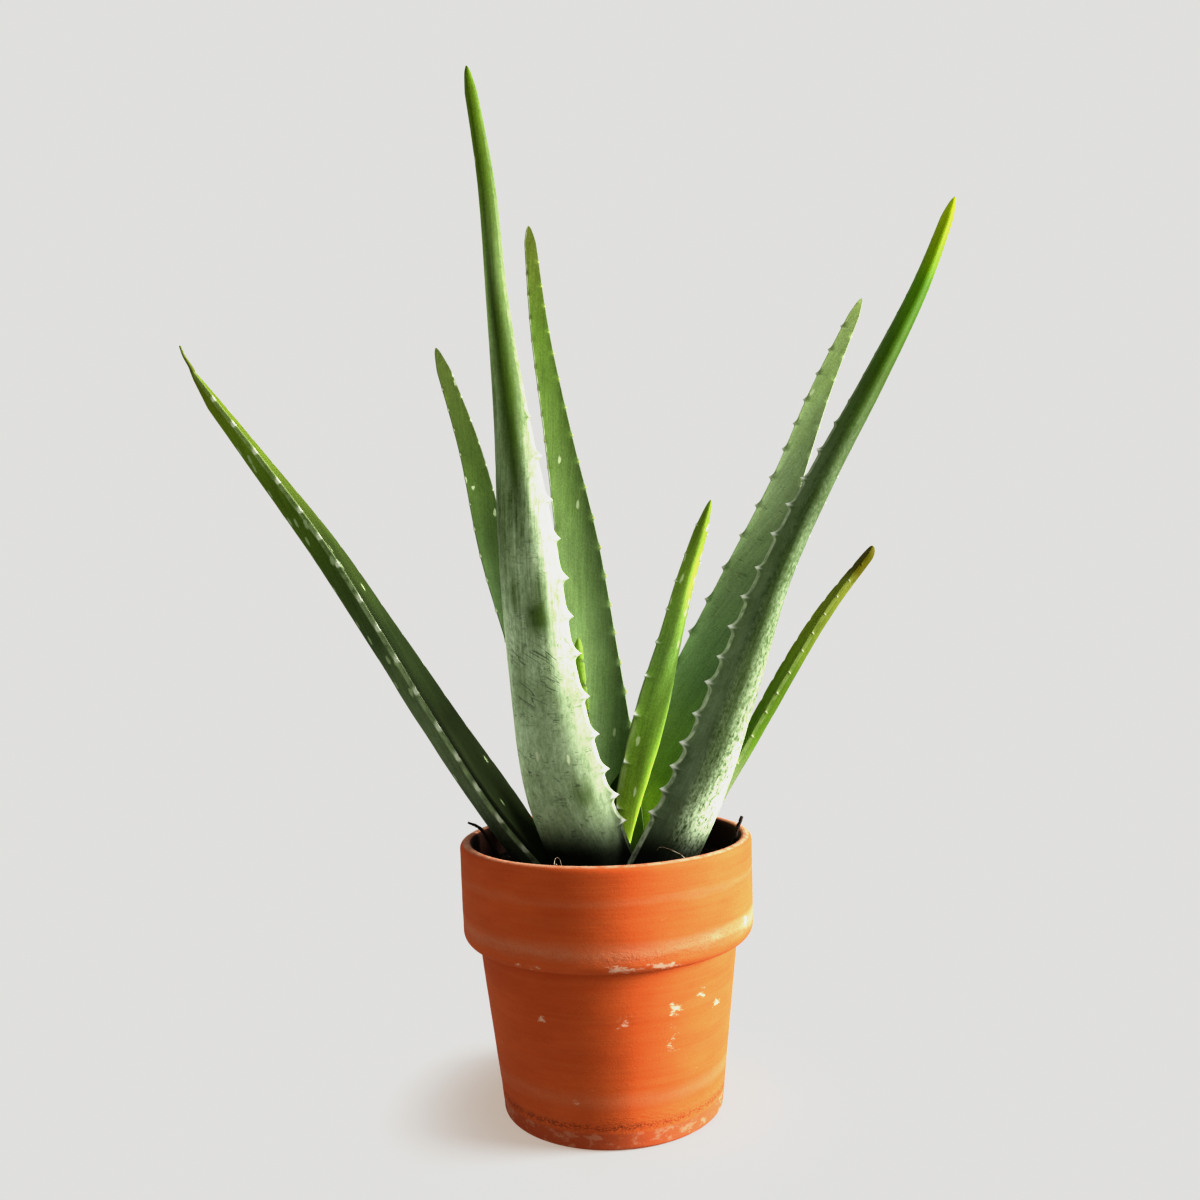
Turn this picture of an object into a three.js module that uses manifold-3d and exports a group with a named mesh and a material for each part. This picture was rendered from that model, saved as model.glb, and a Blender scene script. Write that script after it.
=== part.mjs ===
// A potted aloe: a terracotta pot full of soil, a short stem with its roots, nine
// toothed leaves in a rosette, and two bits of bark stuck in the soil.
// Millimetres, +Z up. The origin is on the pot's axis, at its underside, and the
// plant is seen from the front along +Y.
import * as THREE from "three";
import { mergeVertices } from "three/addons/utils/BufferGeometryUtils.js";
import Module from "manifold-3d";

const wasm = await Module();
wasm.setup();

// Driving dimensions
const GAP = 0.3; // clearance between pieces that touch
const POT_HEIGHT = 117;
const RIM_RADIUS = 65; // outside of the rim band, at the lip
const RIM_BAND = 43; // height of the rim band
const RIM_UNDER_RADIUS = 64.4; // outside of the rim band, near its lower edge
const NECK_RADIUS = 57.5; // outside of the body, just under the rim band
const BASE_RADIUS = 48.5;
const LIP_WIDTH = 5.5;
const WALL = 6; // wall of the body
const FLOOR = 8;
const DRAIN_RADIUS = 9;
const LIP_ROUND = 2.5;
const BAND_ROUND = 5; // rounded lower edge of the rim band
const BASE_ROUND = 1.5;
const SOIL_HEIGHT = 103; // soil surface at the wall
const SOIL_CROWN = 2; // how far the soil rises towards the plant
const POT_SEGMENTS = 40;

const STEM = { x: 2, y: 0, top: 97, bottom: 58, radius: 8.5 };
const MARGIN = 1.2; // thickness of a leaf's edge between its teeth
const BACK_ROUND = 0.75; // exponent of the back's bulge: lower is fuller
const TIP_LENGTH = 6; // the last stretch of a leaf, which rounds off to its point
const TIP_SHARE = 0.16; // share of its width that a leaf keeps at its very end
const TIP_STATIONS = [0.45, 0.12, 0]; // shares of the last stretch that are still to go
const LEAF_STATIONS = 12;
const LEAF_POINTS = 6; // steps across each face of a leaf
const TOOTH_SINK = 1.6; // how deep a tooth's root goes into the margin
const TOOTH_LIFT = 0.5; // how far a tooth stands towards the back from the margin's middle
const TOOTH_SPREAD = 0.65; // half the width of a tooth's root
const TOOTH_DROOP = 0.2; // how far the point hangs towards the foot, in tooth heights
const TOOTH_RAMP = 2.2; // length of the ramp on the tip's side, in tooth heights
const TOOTH_RETURN = 0.8; // length of the short side, in tooth heights
const LAST_TOOTH = 0.955; // share of the leaf's length
const TOOTH_STAGGER = 0.012; // the two margins' teeth don't stand face to face
const TOOTH_JITTER = 0.12;

// Each leaf has a spine through its two margins' middle, from its foot in the soil to
// its tip, and even steps along it of the width across the margins, the thickness, the
// depth of the inner face's channel, and the compass direction that its back faces,
// in degrees from +X. The teeth's pitch and height are in even steps too, from a first
// tooth at its own share of the leaf's length.
// The list runs from the inmost leaf to the outermost.
const LEAVES = {
  leaf_bud: {
    spine: [[-4, 0, 96], [-6, 0, 132], [-8, 1, 168], [-9.5, 2, 205]],
    width: [9, 10, 8, 3],
    thickness: [4, 4.5, 4, 2],
    cup: [1.5, 0.8, 0.4, 0],
    facing: [-150, -140],
    pitch: [13, 10],
    tooth: [1.2, 0.8],
    firstTooth: 0.16,
    seed: 1,
    color: 0x7fa838,
  },
  leaf_young: {
    spine: [
      [-9, -2, 94], [1, -4, 128], [15.9, -5, 162], [28.6, -6, 196.5], [39.6, -6, 230.5], [51.9, -5, 265],
    ],
    width: [28, 28, 19.6, 11, 8, 4.5],
    thickness: [8, 9, 8, 6.5, 5, 2.5],
    cup: [5, 4, 2, 1, 0.4, 0],
    facing: [22, 10, -22, -56, -74, -80],
    pitch: [16.6, 19.8, 16.6, 13.5, 11.4],
    tooth: [2, 2.4, 2.2, 0.9, 0.7],
    firstTooth: 0.12,
    seed: 259,
    color: 0x7db32e,
  },
  leaf_back_mid: {
    spine: [
      [3.5, 10, 92], [1, 19, 145.5], [-3.5, 28, 199], [-9.5, 36, 252.5], [-17.5, 42, 306],
      [-25, 47, 359], [-29.2, 50, 413],
    ],
    width: [32, 28, 23.5, 20, 13.5, 9, 5],
    thickness: [9, 9, 8.5, 7.5, 6, 4.5, 2.5],
    cup: [6, 3.5, 2, 1.2, 0.6, 0.2, 0],
    facing: [92, 95, 102, 106],
    pitch: [13.5, 15.1, 15.6, 14.6, 12.5, 10.4],
    tooth: [1.6, 1.8, 1.5, 1.2, 0.9],
    firstTooth: 0.12,
    seed: 398,
    color: 0x52803f,
  },
  leaf_back_right: {
    spine: [
      [3, 12, 92], [27, 22, 138.5], [50, 30, 185], [73, 37, 231.5], [94.8, 43, 278],
      [115, 48, 325], [138, 52, 371.5],
    ],
    width: [41.5, 36.5, 30.7, 23.5, 14.5, 9.5, 4],
    thickness: [9, 9.5, 9, 7.5, 6, 4.5, 2.5],
    cup: [6, 3.5, 2, 1.2, 0.6, 0.2, 0],
    facing: [66, 70, 80, 90],
    pitch: [15.6, 17.7, 17.7, 15.6, 13.5, 11.4],
    tooth: [2, 2.4, 2, 1.4, 0.9],
    firstTooth: 0.13,
    seed: 224,
    color: 0x4f7d43,
  },
  leaf_back_left: {
    spine: [
      [-10, 14, 92], [-20, 24, 144], [-35, 31, 196], [-49.8, 38, 248], [-61.3, 44, 300], [-77.3, 48, 352],
    ],
    width: [22, 18.5, 15.3, 14.7, 10.8, 5.3],
    thickness: [8, 8, 7, 6, 4, 2],
    cup: [5, 2.5, 1.5, 0.8, 0.3, 0],
    facing: [104, 106, 108],
    pitch: [15, 15, 13, 11],
    tooth: [1.6, 1.6, 1.2, 0.9],
    firstTooth: 0.12,
    seed: 5,
    color: 0x4c7840,
  },
  leaf_far_right: {
    spine: [
      [29, 11, 94], [46, 18, 124], [67, 24, 154.5], [87, 30, 184.5], [108.5, 34, 215], [135, 38, 245],
    ],
    width: [20, 17.5, 12.5, 15, 12.5, 7.5],
    thickness: [5, 5, 5, 5, 4.5, 3],
    cup: [2, 1, 0.5, 0.3, 0.1, 0],
    facing: [14, 10, 6],
    pitch: [13, 13, 11, 10],
    tooth: [1.2, 1.3, 1, 0.8],
    firstTooth: 0.12,
    seed: 6,
    color: 0x5d8236,
  },
  leaf_left: {
    spine: [
      [-15.4, -2, 92], [-43.1, -5, 131.5], [-68.3, -8, 171], [-91.8, -12, 210.5], [-116, -15, 250],
      [-144.3, -18, 289], [-174.5, -20, 328.5],
    ],
    width: [31.7, 30.8, 28.7, 24.9, 19.5, 12.1, 3.5],
    thickness: [9.2, 8.8, 8.9, 8.9, 8.9, 6.8, 3.2],
    cup: [2, 1.5, 1.2, 0.8, 0.4, 0.2, 0],
    facing: [184, 172, 174, 177, 179, 181, 180],
    pitch: [15, 17, 17, 16, 14, 12],
    tooth: [1.6, 1.7, 1.5, 1.2, 0.8],
    firstTooth: 0.12,
    seed: 7,
    color: 0x446b38,
    driedTip: [[-173, -20, 326.5], [-176.5, -20, 333], [-178.5, -20, 338]],
  },
  leaf_tall: {
    spine: [
      [0.5, -12, 92], [-16, -24, 143], [-24, -31, 194], [-28.5, -35, 244.5], [-33, -37, 295.5],
      [-37.5, -38, 346.5], [-41, -38, 397.5], [-48.3, -36, 448.5],
    ],
    width: [35.5, 36, 29.5, 25.5, 15.5, 9, 7, 4.5],
    thickness: [9, 10.5, 10, 9, 7.5, 6, 4.5, 2.5],
    cup: [6, 3.5, 2, 1.2, 0.8, 0.5, 0.2, 0],
    facing: [-108, -112, -116, -120],
    pitch: [8.3, 14, 18.2, 17.7, 16.6, 14.6, 12.5, 10.4],
    tooth: [2.4, 2.8, 2.6, 1.8, 1.2, 0.9],
    firstTooth: 0.1,
    seed: 365,
    color: 0x5f8a55,
  },
  leaf_front_right: {
    spine: [
      [13, -22, 92], [38, -20, 137.5], [58.3, -14, 183], [78.2, -6, 229], [103.2, 2, 274.5],
      [131, 11, 320], [157, 19, 365.5], [178.3, 27, 411.5],
    ],
    width: [27.5, 25.1, 20.7, 14.8, 12.5, 10.5, 8, 5],
    thickness: [9, 10, 9.5, 8.5, 7.5, 6, 4.5, 2.5],
    cup: [6, 3.5, 2, 1.2, 0.8, 0.5, 0.2, 0],
    facing: [-60, -66, -76, -84, -88],
    pitch: [10.6, 12.5, 14.4, 15.4, 14.4, 12.5, 10.6, 9.6],
    tooth: [2.2, 2.6, 2.4, 1.7, 1.2, 0.9],
    firstTooth: 0.09,
    seed: 257,
    color: 0x5a8450,
  },
};

// Each root starts inside the stem and thins out on its way to the wall or the floor.
const ROOTS = [
  [[2, 0, 66], [-16, -8, 52], [-31, -13, 32], [-36, -12, 16]],
  [[2, 0, 70], [20, -10, 60], [33, -20, 46], [34, -19, 28]],
  [[2, 0, 64], [6, 16, 48], [2, 32, 32], [-6, 38, 15]],
  [[2, 0, 72], [-14, 14, 62], [-30, 24, 52], [-32, 21, 36]],
  [[2, 0, 62], [8, -14, 44], [10, -30, 26], [4, -36, 14]],
  [[2, 0, 74], [20, 12, 64], [35, 19, 50], [34, 16, 30]],
];
const ROOT_RADII = [2.6, 1.9, 1.4, 0.9];

const TWIGS = {
  twig_right: {
    path: [[51, -12, 99], [54.5, -11, 109], [57, -10, 116], [60.5, -9, 124.5]],
    radii: [1.1, 1, 0.9, 0.6],
  },
  twig_left: {
    path: [[-45, 5, 99], [-52, 8, 111], [-57.5, 11, 118.8], [-63.5, 12, 121.8]],
    radii: [0.9, 0.8, 0.7, 0.5],
  },
};

// Shared helpers

// The value at t (0 to 1) of a smooth curve through evenly spaced numbers.
function along(values, t) {
  const place = (values.length - 1) * t;
  const i = Math.min(Math.floor(place), values.length - 2);
  const w = place - i;
  const before = i > 0 ? values[i - 1] : 2 * values[0] - values[1];
  const after = i + 2 < values.length ? values[i + 2] : 2 * values[i + 1] - values[i];
  const slope0 = (values[i + 1] - before) / 2;
  const slope1 = (after - values[i]) / 2;
  const rise = values[i + 1] - values[i];
  return (
    values[i] + slope0 * w + (3 * rise - 2 * slope0 - slope1) * w ** 2 + (slope0 + slope1 - 2 * rise) * w ** 3
  );
}

// A repeatable draw from 0 to 1.
function draw(seed, index) {
  const x = Math.sin(seed * 127.1 + index * 311.7) * 43758.5453;
  return x - Math.floor(x);
}

function smoothCurve(path) {
  const points = path.map((p) => new THREE.Vector3(...p));
  return new THREE.CatmullRomCurve3(points, false, "catmullrom", 0.5);
}

function solidOf(geometry) {
  const bare = geometry.clone();
  bare.deleteAttribute("normal");
  bare.deleteAttribute("uv");
  const merged = mergeVertices(bare, 1e-4);
  return new wasm.Manifold(
    new wasm.Mesh({
      numProp: 3,
      vertProperties: new Float32Array(merged.attributes.position.array),
      triVerts: new Uint32Array(merged.index.array),
    }),
  );
}

function geometryOf(solid) {
  const mesh = solid.getMesh();
  const geometry = new THREE.BufferGeometry();
  geometry.setAttribute("position", new THREE.BufferAttribute(new Float32Array(mesh.vertProperties), 3));
  geometry.setIndex(new THREE.BufferAttribute(new Uint32Array(mesh.triVerts), 1));
  geometry.computeVertexNormals();
  return geometry;
}

// The biggest body of a solid: a loose scrap that a cut leaves is dropped.
function biggest(solid) {
  return solid.decompose().sort((a, b) => b.volume() - a.volume())[0];
}

// A closed skin over rings of points, each ring counter-clockwise seen from the far end.
// A ring's first half is faced by its second half, so the end caps are strips.
function loft(rings) {
  const size = rings[0].length;
  const last = (rings.length - 1) * size;
  const faces = [];
  for (let i = 0; i + 1 < rings.length; i++) {
    for (let j = 0; j < size; j++) {
      const a = i * size + j;
      const b = i * size + ((j + 1) % size);
      faces.push(a, b, b + size, a, b + size, a + size);
    }
  }
  for (let k = 0; k + 1 < size / 2; k++) {
    const far = size - 1 - k;
    faces.push(k, far, far - 1, k, far - 1, k + 1);
    faces.push(last + k, last + k + 1, last + far - 1, last + k, last + far - 1, last + far);
  }
  const geometry = new THREE.BufferGeometry().setFromPoints(rings.flat());
  geometry.setIndex(faces);
  return geometry;
}

// Leaves

// The leaf's own axes at s: centre, direction to the tip, way out of the back, way across.
function leafAxes(leaf, spine, s) {
  const centre = spine.getPoint(s);
  const tip = spine.getTangent(s);
  const compass = THREE.MathUtils.degToRad(along(leaf.facing, s));
  const out = new THREE.Vector3(Math.cos(compass), Math.sin(compass), 0);
  out.addScaledVector(tip, -out.dot(tip)).normalize();
  const across = new THREE.Vector3().crossVectors(out, tip);
  return { centre, tip, out, across };
}

// How much of its width a leaf keeps on the last stretch, where it rounds off to a point.
function tipTaper(s, length) {
  const start = 1 - TIP_LENGTH / length;
  return s <= start ? 1 : Math.max(Math.sqrt(1 - ((s - start) / (1 - start)) ** 2), TIP_SHARE);
}

// A half-moon section: the back from one margin to the other, then the inner face back.
function leafRing(leaf, axes, s, length, grow) {
  const taper = tipTaper(s, length);
  const halfWidth = (along(leaf.width, s) * taper) / 2 + grow;
  const thickness = along(leaf.thickness, s) * taper;
  const cup = along(leaf.cup, s);
  const edge = Math.min(MARGIN, halfWidth) / 2 + grow;
  const back = [];
  const inner = [];
  for (let k = 0; k <= LEAF_POINTS; k++) {
    const angle = (Math.PI * k) / LEAF_POINTS;
    const bulge = Math.sin(angle);
    const point = (height) =>
      axes.centre
        .clone()
        .addScaledVector(axes.across, Math.cos(angle) * halfWidth)
        .addScaledVector(axes.out, height);
    back.push(point(edge + (thickness + cup) * Math.max(bulge, 0) ** BACK_ROUND));
    inner.unshift(point(-edge + cup * bulge ** 2));
  }
  return [...back, ...inner];
}

// Stations along a leaf: even steps, then close ones round the tip.
function leafStations(length) {
  const start = 1 - TIP_LENGTH / length;
  const stations = [];
  for (let i = 0; i <= LEAF_STATIONS; i++) stations.push((start * i) / LEAF_STATIONS);
  return [...stations, ...TIP_STATIONS.map((left) => 1 - (1 - start) * left)];
}

// Teeth stand along both margins: a long ramp on the tip's side, a short one below.
function leafTeeth(leaf, length) {
  const teeth = [];
  for (const side of [-1, 1]) {
    let s = leaf.firstTooth + TOOTH_STAGGER * side;
    for (let i = 0; s < LAST_TOOTH; i++) {
      teeth.push({ side, s, size: along(leaf.tooth, s) * uneven(draw(leaf.seed + side, i)) });
      s += (along(leaf.pitch, s) * uneven(draw(leaf.seed - side, i + 50))) / length;
    }
  }
  return teeth;
}

// A draw from 0 to 1 as a factor near 1.
function uneven(drawn) {
  return 1 + TOOTH_JITTER * (2 * drawn - 1);
}

// One tooth: a three-sided spike with its root inside the leaf.
function toothSolid(leaf, spine, length, tooth, grow) {
  const { s, side, size } = tooth;
  const axes = leafAxes(leaf, spine, s);
  const halfWidth = (along(leaf.width, s) * tipTaper(s, length)) / 2;
  const place = (outward, up, lift) =>
    axes.centre
      .clone()
      .addScaledVector(axes.across, side * (halfWidth + outward))
      .addScaledVector(axes.tip, up)
      .addScaledVector(axes.out, lift);
  const ramp = size * TOOTH_RAMP + grow;
  const below = size * TOOTH_RETURN + grow;
  const sink = Math.min(TOOTH_SINK, halfWidth / 2);
  const spread = TOOTH_SPREAD + grow;
  const corners = [
    place(-sink, ramp, TOOTH_LIFT),
    place(-sink, -below, TOOTH_LIFT + spread),
    place(-sink, -below, TOOTH_LIFT - spread),
    place(size + grow, -size * TOOTH_DROOP, TOOTH_LIFT),
  ];
  const faces = [0, 1, 2, 0, 3, 1, 1, 3, 2, 2, 3, 0];
  if (side < 0) faces.reverse();
  const geometry = new THREE.BufferGeometry().setFromPoints(corners);
  geometry.setIndex(faces);
  return solidOf(geometry);
}

// A round-sectioned, thinning strand along a path.
function strand(path, radii, sides, steps) {
  const curve = smoothCurve(path);
  const frames = curve.computeFrenetFrames(steps, false);
  const rings = [];
  for (let i = 0; i <= steps; i++) {
    const centre = curve.getPointAt(i / steps);
    const radius = along(radii, i / steps);
    const ring = [];
    for (let j = 0; j < sides; j++) {
      const angle = (2 * Math.PI * j) / sides;
      ring.push(
        centre
          .clone()
          .addScaledVector(frames.normals[i], Math.cos(angle) * radius)
          .addScaledVector(frames.binormals[i], Math.sin(angle) * radius),
      );
    }
    rings.push(ring);
  }
  return solidOf(loft(rings));
}

// A leaf with its teeth grown on, made fatter all round by grow.
function leafSolid(leaf, grow) {
  const spine = smoothCurve(leaf.spine);
  const length = spine.getLength();
  const rings = leafStations(length).map((s) => leafRing(leaf, leafAxes(leaf, spine, s), s, length, grow));
  let solid = solidOf(loft(rings));
  for (const tooth of leafTeeth(leaf, length)) {
    solid = solid.add(toothSolid(leaf, spine, length, tooth, grow));
  }
  if (leaf.driedTip) {
    const radii = [0.9 + grow, 0.6 + grow, 0.4 + grow];
    solid = solid.add(strand(leaf.driedTip, radii, 6, 4));
  }
  return solid;
}

// Stem and roots

function stemSolid(grow) {
  const { x, y, top, bottom, radius } = STEM;
  const profile = [
    [0, bottom - grow],
    [radius * 0.6 + grow, bottom + 3 - grow],
    [radius + grow, bottom + 10],
    [radius + grow, top - 14],
    [radius * 0.8 + grow, top - 6],
    [radius * 0.4 + grow, top - 1 + grow],
    [0, top + grow],
  ];
  const geometry = new THREE.LatheGeometry(profile.map(([r, z]) => new THREE.Vector2(r, z)), 12);
  geometry.rotateX(Math.PI / 2);
  geometry.translate(x, y, 0);
  let solid = solidOf(geometry);
  for (const root of ROOTS) {
    const radii = ROOT_RADII.map((r) => r + grow);
    solid = solid.add(strand(root, radii, 5, 5));
  }
  return solid;
}

// Pot

// Points on an arc about (r, z), from one angle to another in degrees.
function arc(r, z, radius, from, to, steps) {
  const points = [];
  for (let i = 0; i <= steps; i++) {
    const angle = THREE.MathUtils.degToRad(from + ((to - from) * i) / steps);
    points.push([r + radius * Math.cos(angle), z + radius * Math.sin(angle)]);
  }
  return points;
}

const BAND_FLOOR = POT_HEIGHT - RIM_BAND;
const INNER_LIP = RIM_RADIUS - LIP_WIDTH;
// The inside of the wall, from the floor up.
const INNER_WALL = [
  [BASE_RADIUS - WALL - 2, FLOOR],
  [BASE_RADIUS - WALL, FLOOR + 2],
  [NECK_RADIUS - WALL, BAND_FLOOR - 8],
  [INNER_LIP - 1.5, BAND_FLOOR + 6],
  [INNER_LIP, POT_HEIGHT - LIP_ROUND],
];

function lathe(profile) {
  const points = profile.map(([r, z]) => new THREE.Vector2(r, z));
  return new THREE.LatheGeometry(points, POT_SEGMENTS).rotateX(Math.PI / 2);
}

function potSolid() {
  const outside = [
    [DRAIN_RADIUS, 0],
    ...arc(BASE_RADIUS - BASE_ROUND, BASE_ROUND, BASE_ROUND, -90, 0, 2),
    [NECK_RADIUS, BAND_FLOOR],
    ...arc(RIM_UNDER_RADIUS - BAND_ROUND, BAND_FLOOR + BAND_ROUND, BAND_ROUND, -80, 0, 3),
    ...arc(RIM_RADIUS - LIP_ROUND, POT_HEIGHT - LIP_ROUND, LIP_ROUND, 0, 90, 3),
    ...arc(INNER_LIP + LIP_ROUND, POT_HEIGHT - LIP_ROUND, LIP_ROUND, 90, 140, 1),
  ];
  const inside = [...INNER_WALL].reverse();
  return solidOf(lathe([...outside, ...inside, [DRAIN_RADIUS, FLOOR], [DRAIN_RADIUS, 0]]));
}

// Soil

// Lumps on the soil's surface.
function soilLump(x, y) {
  return 1.1 * Math.sin(x * 0.21 + 1.3) * Math.cos(y * 0.19) + 0.7 * Math.sin(x * 0.47 - y * 0.39 + 0.6);
}

function soilSolid() {
  const wall = INNER_WALL.slice(1, 4).map(([r, z]) => [r - GAP, z]);
  const reach = INNER_LIP - 1.5 + (1.5 * (SOIL_HEIGHT - BAND_FLOOR - 6)) / (RIM_BAND - 6) - GAP;
  const surface = [1, 0.8, 0.6, 0.35, 0].map((share) => [
    reach * share,
    SOIL_HEIGHT + SOIL_CROWN * (1 - share ** 2),
  ]);
  const geometry = lathe([[0, FLOOR + GAP], [wall[0][0] - 2, FLOOR + GAP], ...wall, ...surface]);
  const position = geometry.attributes.position;
  for (let i = 0; i < position.count; i++) {
    const [x, y, z] = [position.getX(i), position.getY(i), position.getZ(i)];
    if (z > SOIL_HEIGHT - 1) position.setZ(i, z + soilLump(x, y));
  }
  return solidOf(geometry);
}

// Assembly

const FINISH = {
  pot: { color: 0xb8612f, roughness: 0.85 },
  soil: { color: 0x1d140f, roughness: 1 },
  stem_and_roots: { color: 0x9a7b55, roughness: 0.9 },
  twig: { color: 0x1a120d, roughness: 0.9 },
};

function meshOf(name, solid, { color, roughness }) {
  const material = new THREE.MeshStandardMaterial({ color, roughness, metalness: 0 });
  const mesh = new THREE.Mesh(geometryOf(solid), material);
  mesh.name = name;
  return mesh;
}

const aloe = new THREE.Group();
const stemRoom = stemSolid(GAP);
aloe.add(meshOf("pot", potSolid(), FINISH.pot));
aloe.add(meshOf("stem_and_roots", stemSolid(0), FINISH.stem_and_roots));

// Outer leaves clasp the inner ones, so each is cut back round those before it.
let room = stemRoom;
for (const [name, leaf] of Object.entries(LEAVES)) {
  const solid = biggest(leafSolid(leaf, 0).subtract(room));
  aloe.add(meshOf(name, solid, { color: leaf.color, roughness: 0.5 }));
  room = room.add(leafSolid(leaf, GAP));
}
for (const [name, twig] of Object.entries(TWIGS)) {
  aloe.add(meshOf(name, strand(twig.path, twig.radii, 6, 6), FINISH.twig));
  const radii = twig.radii.map((r) => r + GAP);
  room = room.add(strand(twig.path, radii, 6, 6));
}
aloe.add(meshOf("soil", biggest(soilSolid().subtract(room)), FINISH.soil));

export default aloe;
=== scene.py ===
import math

import bpy
import numpy as np
from mathutils import Matrix


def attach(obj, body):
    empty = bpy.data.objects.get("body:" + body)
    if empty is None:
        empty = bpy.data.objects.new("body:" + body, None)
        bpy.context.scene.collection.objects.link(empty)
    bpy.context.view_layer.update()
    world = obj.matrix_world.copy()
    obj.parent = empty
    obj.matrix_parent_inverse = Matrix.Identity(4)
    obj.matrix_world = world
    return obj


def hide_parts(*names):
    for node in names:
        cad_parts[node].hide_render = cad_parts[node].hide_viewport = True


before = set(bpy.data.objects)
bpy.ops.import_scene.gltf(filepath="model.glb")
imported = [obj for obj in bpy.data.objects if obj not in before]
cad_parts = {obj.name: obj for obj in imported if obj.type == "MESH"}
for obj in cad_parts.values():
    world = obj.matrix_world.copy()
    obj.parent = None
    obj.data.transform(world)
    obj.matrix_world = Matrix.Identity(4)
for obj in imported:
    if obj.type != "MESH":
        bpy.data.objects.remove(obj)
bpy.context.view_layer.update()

MM = 0.001

# Sizes in millimetres, as in the part's source

GAP = 0.3
POT_HEIGHT = 117
RIM_RADIUS = 65
RIM_BAND = 43
RIM_UNDER_RADIUS = 64.4
NECK_RADIUS = 57.5
BASE_RADIUS = 48.5
LIP_WIDTH = 5.5
WALL = 6
FLOOR = 8
DRAIN_RADIUS = 9
LIP_ROUND = 2.5
BAND_ROUND = 5
BASE_ROUND = 1.5
SOIL_HEIGHT = 103
SOIL_CROWN = 2
BAND_FLOOR = POT_HEIGHT - RIM_BAND
INNER_LIP = RIM_RADIUS - LIP_WIDTH
LIP_TAPER, TAPER_RISE = 1.5, 6
# The pot's inner wall, from the lip's taper down to its floor: radius and height
INNER_WALL = (
    (INNER_LIP - LIP_TAPER, BAND_FLOOR + TAPER_RISE), (NECK_RADIUS - WALL, BAND_FLOOR - 8),
    (BASE_RADIUS - WALL, FLOOR + 2), (BASE_RADIUS - WALL - 2, FLOOR),
)
# Heights on the pot where its clay is torn, under the rim and over the foot, and of a fine groove
RIM_TEAR, FOOT_TEAR, GROOVE = 81.5, 12.5, 96
# Lime on the pot, as height and reach: a broad band low on the rim, and two faint ones
LIME_BAND, UPPER_LIME, LOWER_LIME = (83.5, 5.5), (103, 2.5), (20.5, 5.5)

# Leaves: margin, back, tip and teeth
MARGIN = 1.2
BACK_ROUND = 0.75
TIP_LENGTH = 6
TIP_SHARE = 0.16
TOOTH_DROOP = 0.2
TOOTH_LIFT = 0.5
LAST_TOOTH = 0.955
TOOTH_STAGGER = 0.012
TOOTH_JITTER = 0.12
TOOTH_RAMP = 2.9
TOOTH_RETURN = 1.3

# Rings of points along a leaf: how far apart, and where round a tooth, in heights of the tooth
STATION_STEP = 2.6
TOOTH_STATIONS = (-1.3, -0.85, -0.55, -0.3, -0.14, -0.05, 0, 0.06, 0.16, 0.32, 0.55, 0.9, 1.4, 2.1, 2.9)
# Points round a leaf, in degrees: over its back, and over its inner face
BACK_ANGLES = (0, 4, 8, 13, 20, 30, 42, 56, 73, 90, 107, 124, 138, 150, 160, 167, 172, 176, 180)
INNER_ANGLES = (180, 172, 162, 148, 130, 110, 90, 70, 50, 32, 18, 8, 0)
# How far from the margin a tooth bends the skin, and a leaf thins out
TOOTH_WIDTH = 0.55
THIN_WIDTH = 1.2

CRUMBS = 900
FIBRES = 46

# Light: the backdrop, the room behind the camera, and the window, with its angles in degrees
BACKDROP = (0.546, 0.5416, 0.5327, 1)
ROOM_FRONT = (0.53, 0.53, 0.53, 1)
ROOM_FROM, ROOM_TO = -0.1, 0.7
KEY_POWER = 10.8
KEY_COLOUR = (1.0, 0.985, 0.96)
KEY_SIDE, KEY_HEIGHT, KEY_WIDTH = 84, 18, 28
# The paper near the pot: its colour, its light, and where it fades into the backdrop
FLOOR_COLOUR = (0.125, 0.17, 0.2)
FLOOR_LIGHT = (1.46, 1.42, 1.4)
FLOOR_FADE = (52, 108)
FLOOR_REACH = 30000
# The camera: its focal length and sensor in millimetres, its tilts in degrees, its place in metres
LENS, SENSOR = 31, 36
PITCH, ROLL = 1.4, 1.84
CAMERA_AT = (0.00086, -0.467, 0.2106)
# The tone curve, which holds back the brightest tones
SHOULDER = ((0.3, 0.3), (0.5, 0.5), (0.55, 0.548), (0.7, 0.592), (1, 0.615))

# Colours of the clay and of what lies on it
CLAY_DARK, CLAY_LIGHT = (0.39, 0.077, 0.016), (0.44, 0.097, 0.0225)
TURNED_CLAY, SAND = (0.45, 0.133, 0.04), (0.3, 0.0536, 0.016)
LIME, SCUFFED, WORN_LIP = (0.47, 0.3, 0.193), (0.557, 0.393, 0.286), (0.514, 0.343, 0.236)
DENTED, DAMP_FOOT, FOOT_BLOTCH = (0.13, 0.028, 0.01), (0.25, 0.06, 0.027), (0.45, 0.24, 0.15)
INSIDE_DARK = (0.02, 0.008, 0.004)

# Colours of the leaves: their wax, and the faces that the camera doesn't see
WAX = (0.44, 0.54, 0.35)
FAR_BACK = [(0.13, 0.22, 0.07), (0.13, 0.22, 0.05)]
FAR_INNER = [(0.1, 0.18, 0.05), (0.1, 0.18, 0.03)]
# A place past every leaf's tip and margins
NOWHERE = (2, 3)

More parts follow.
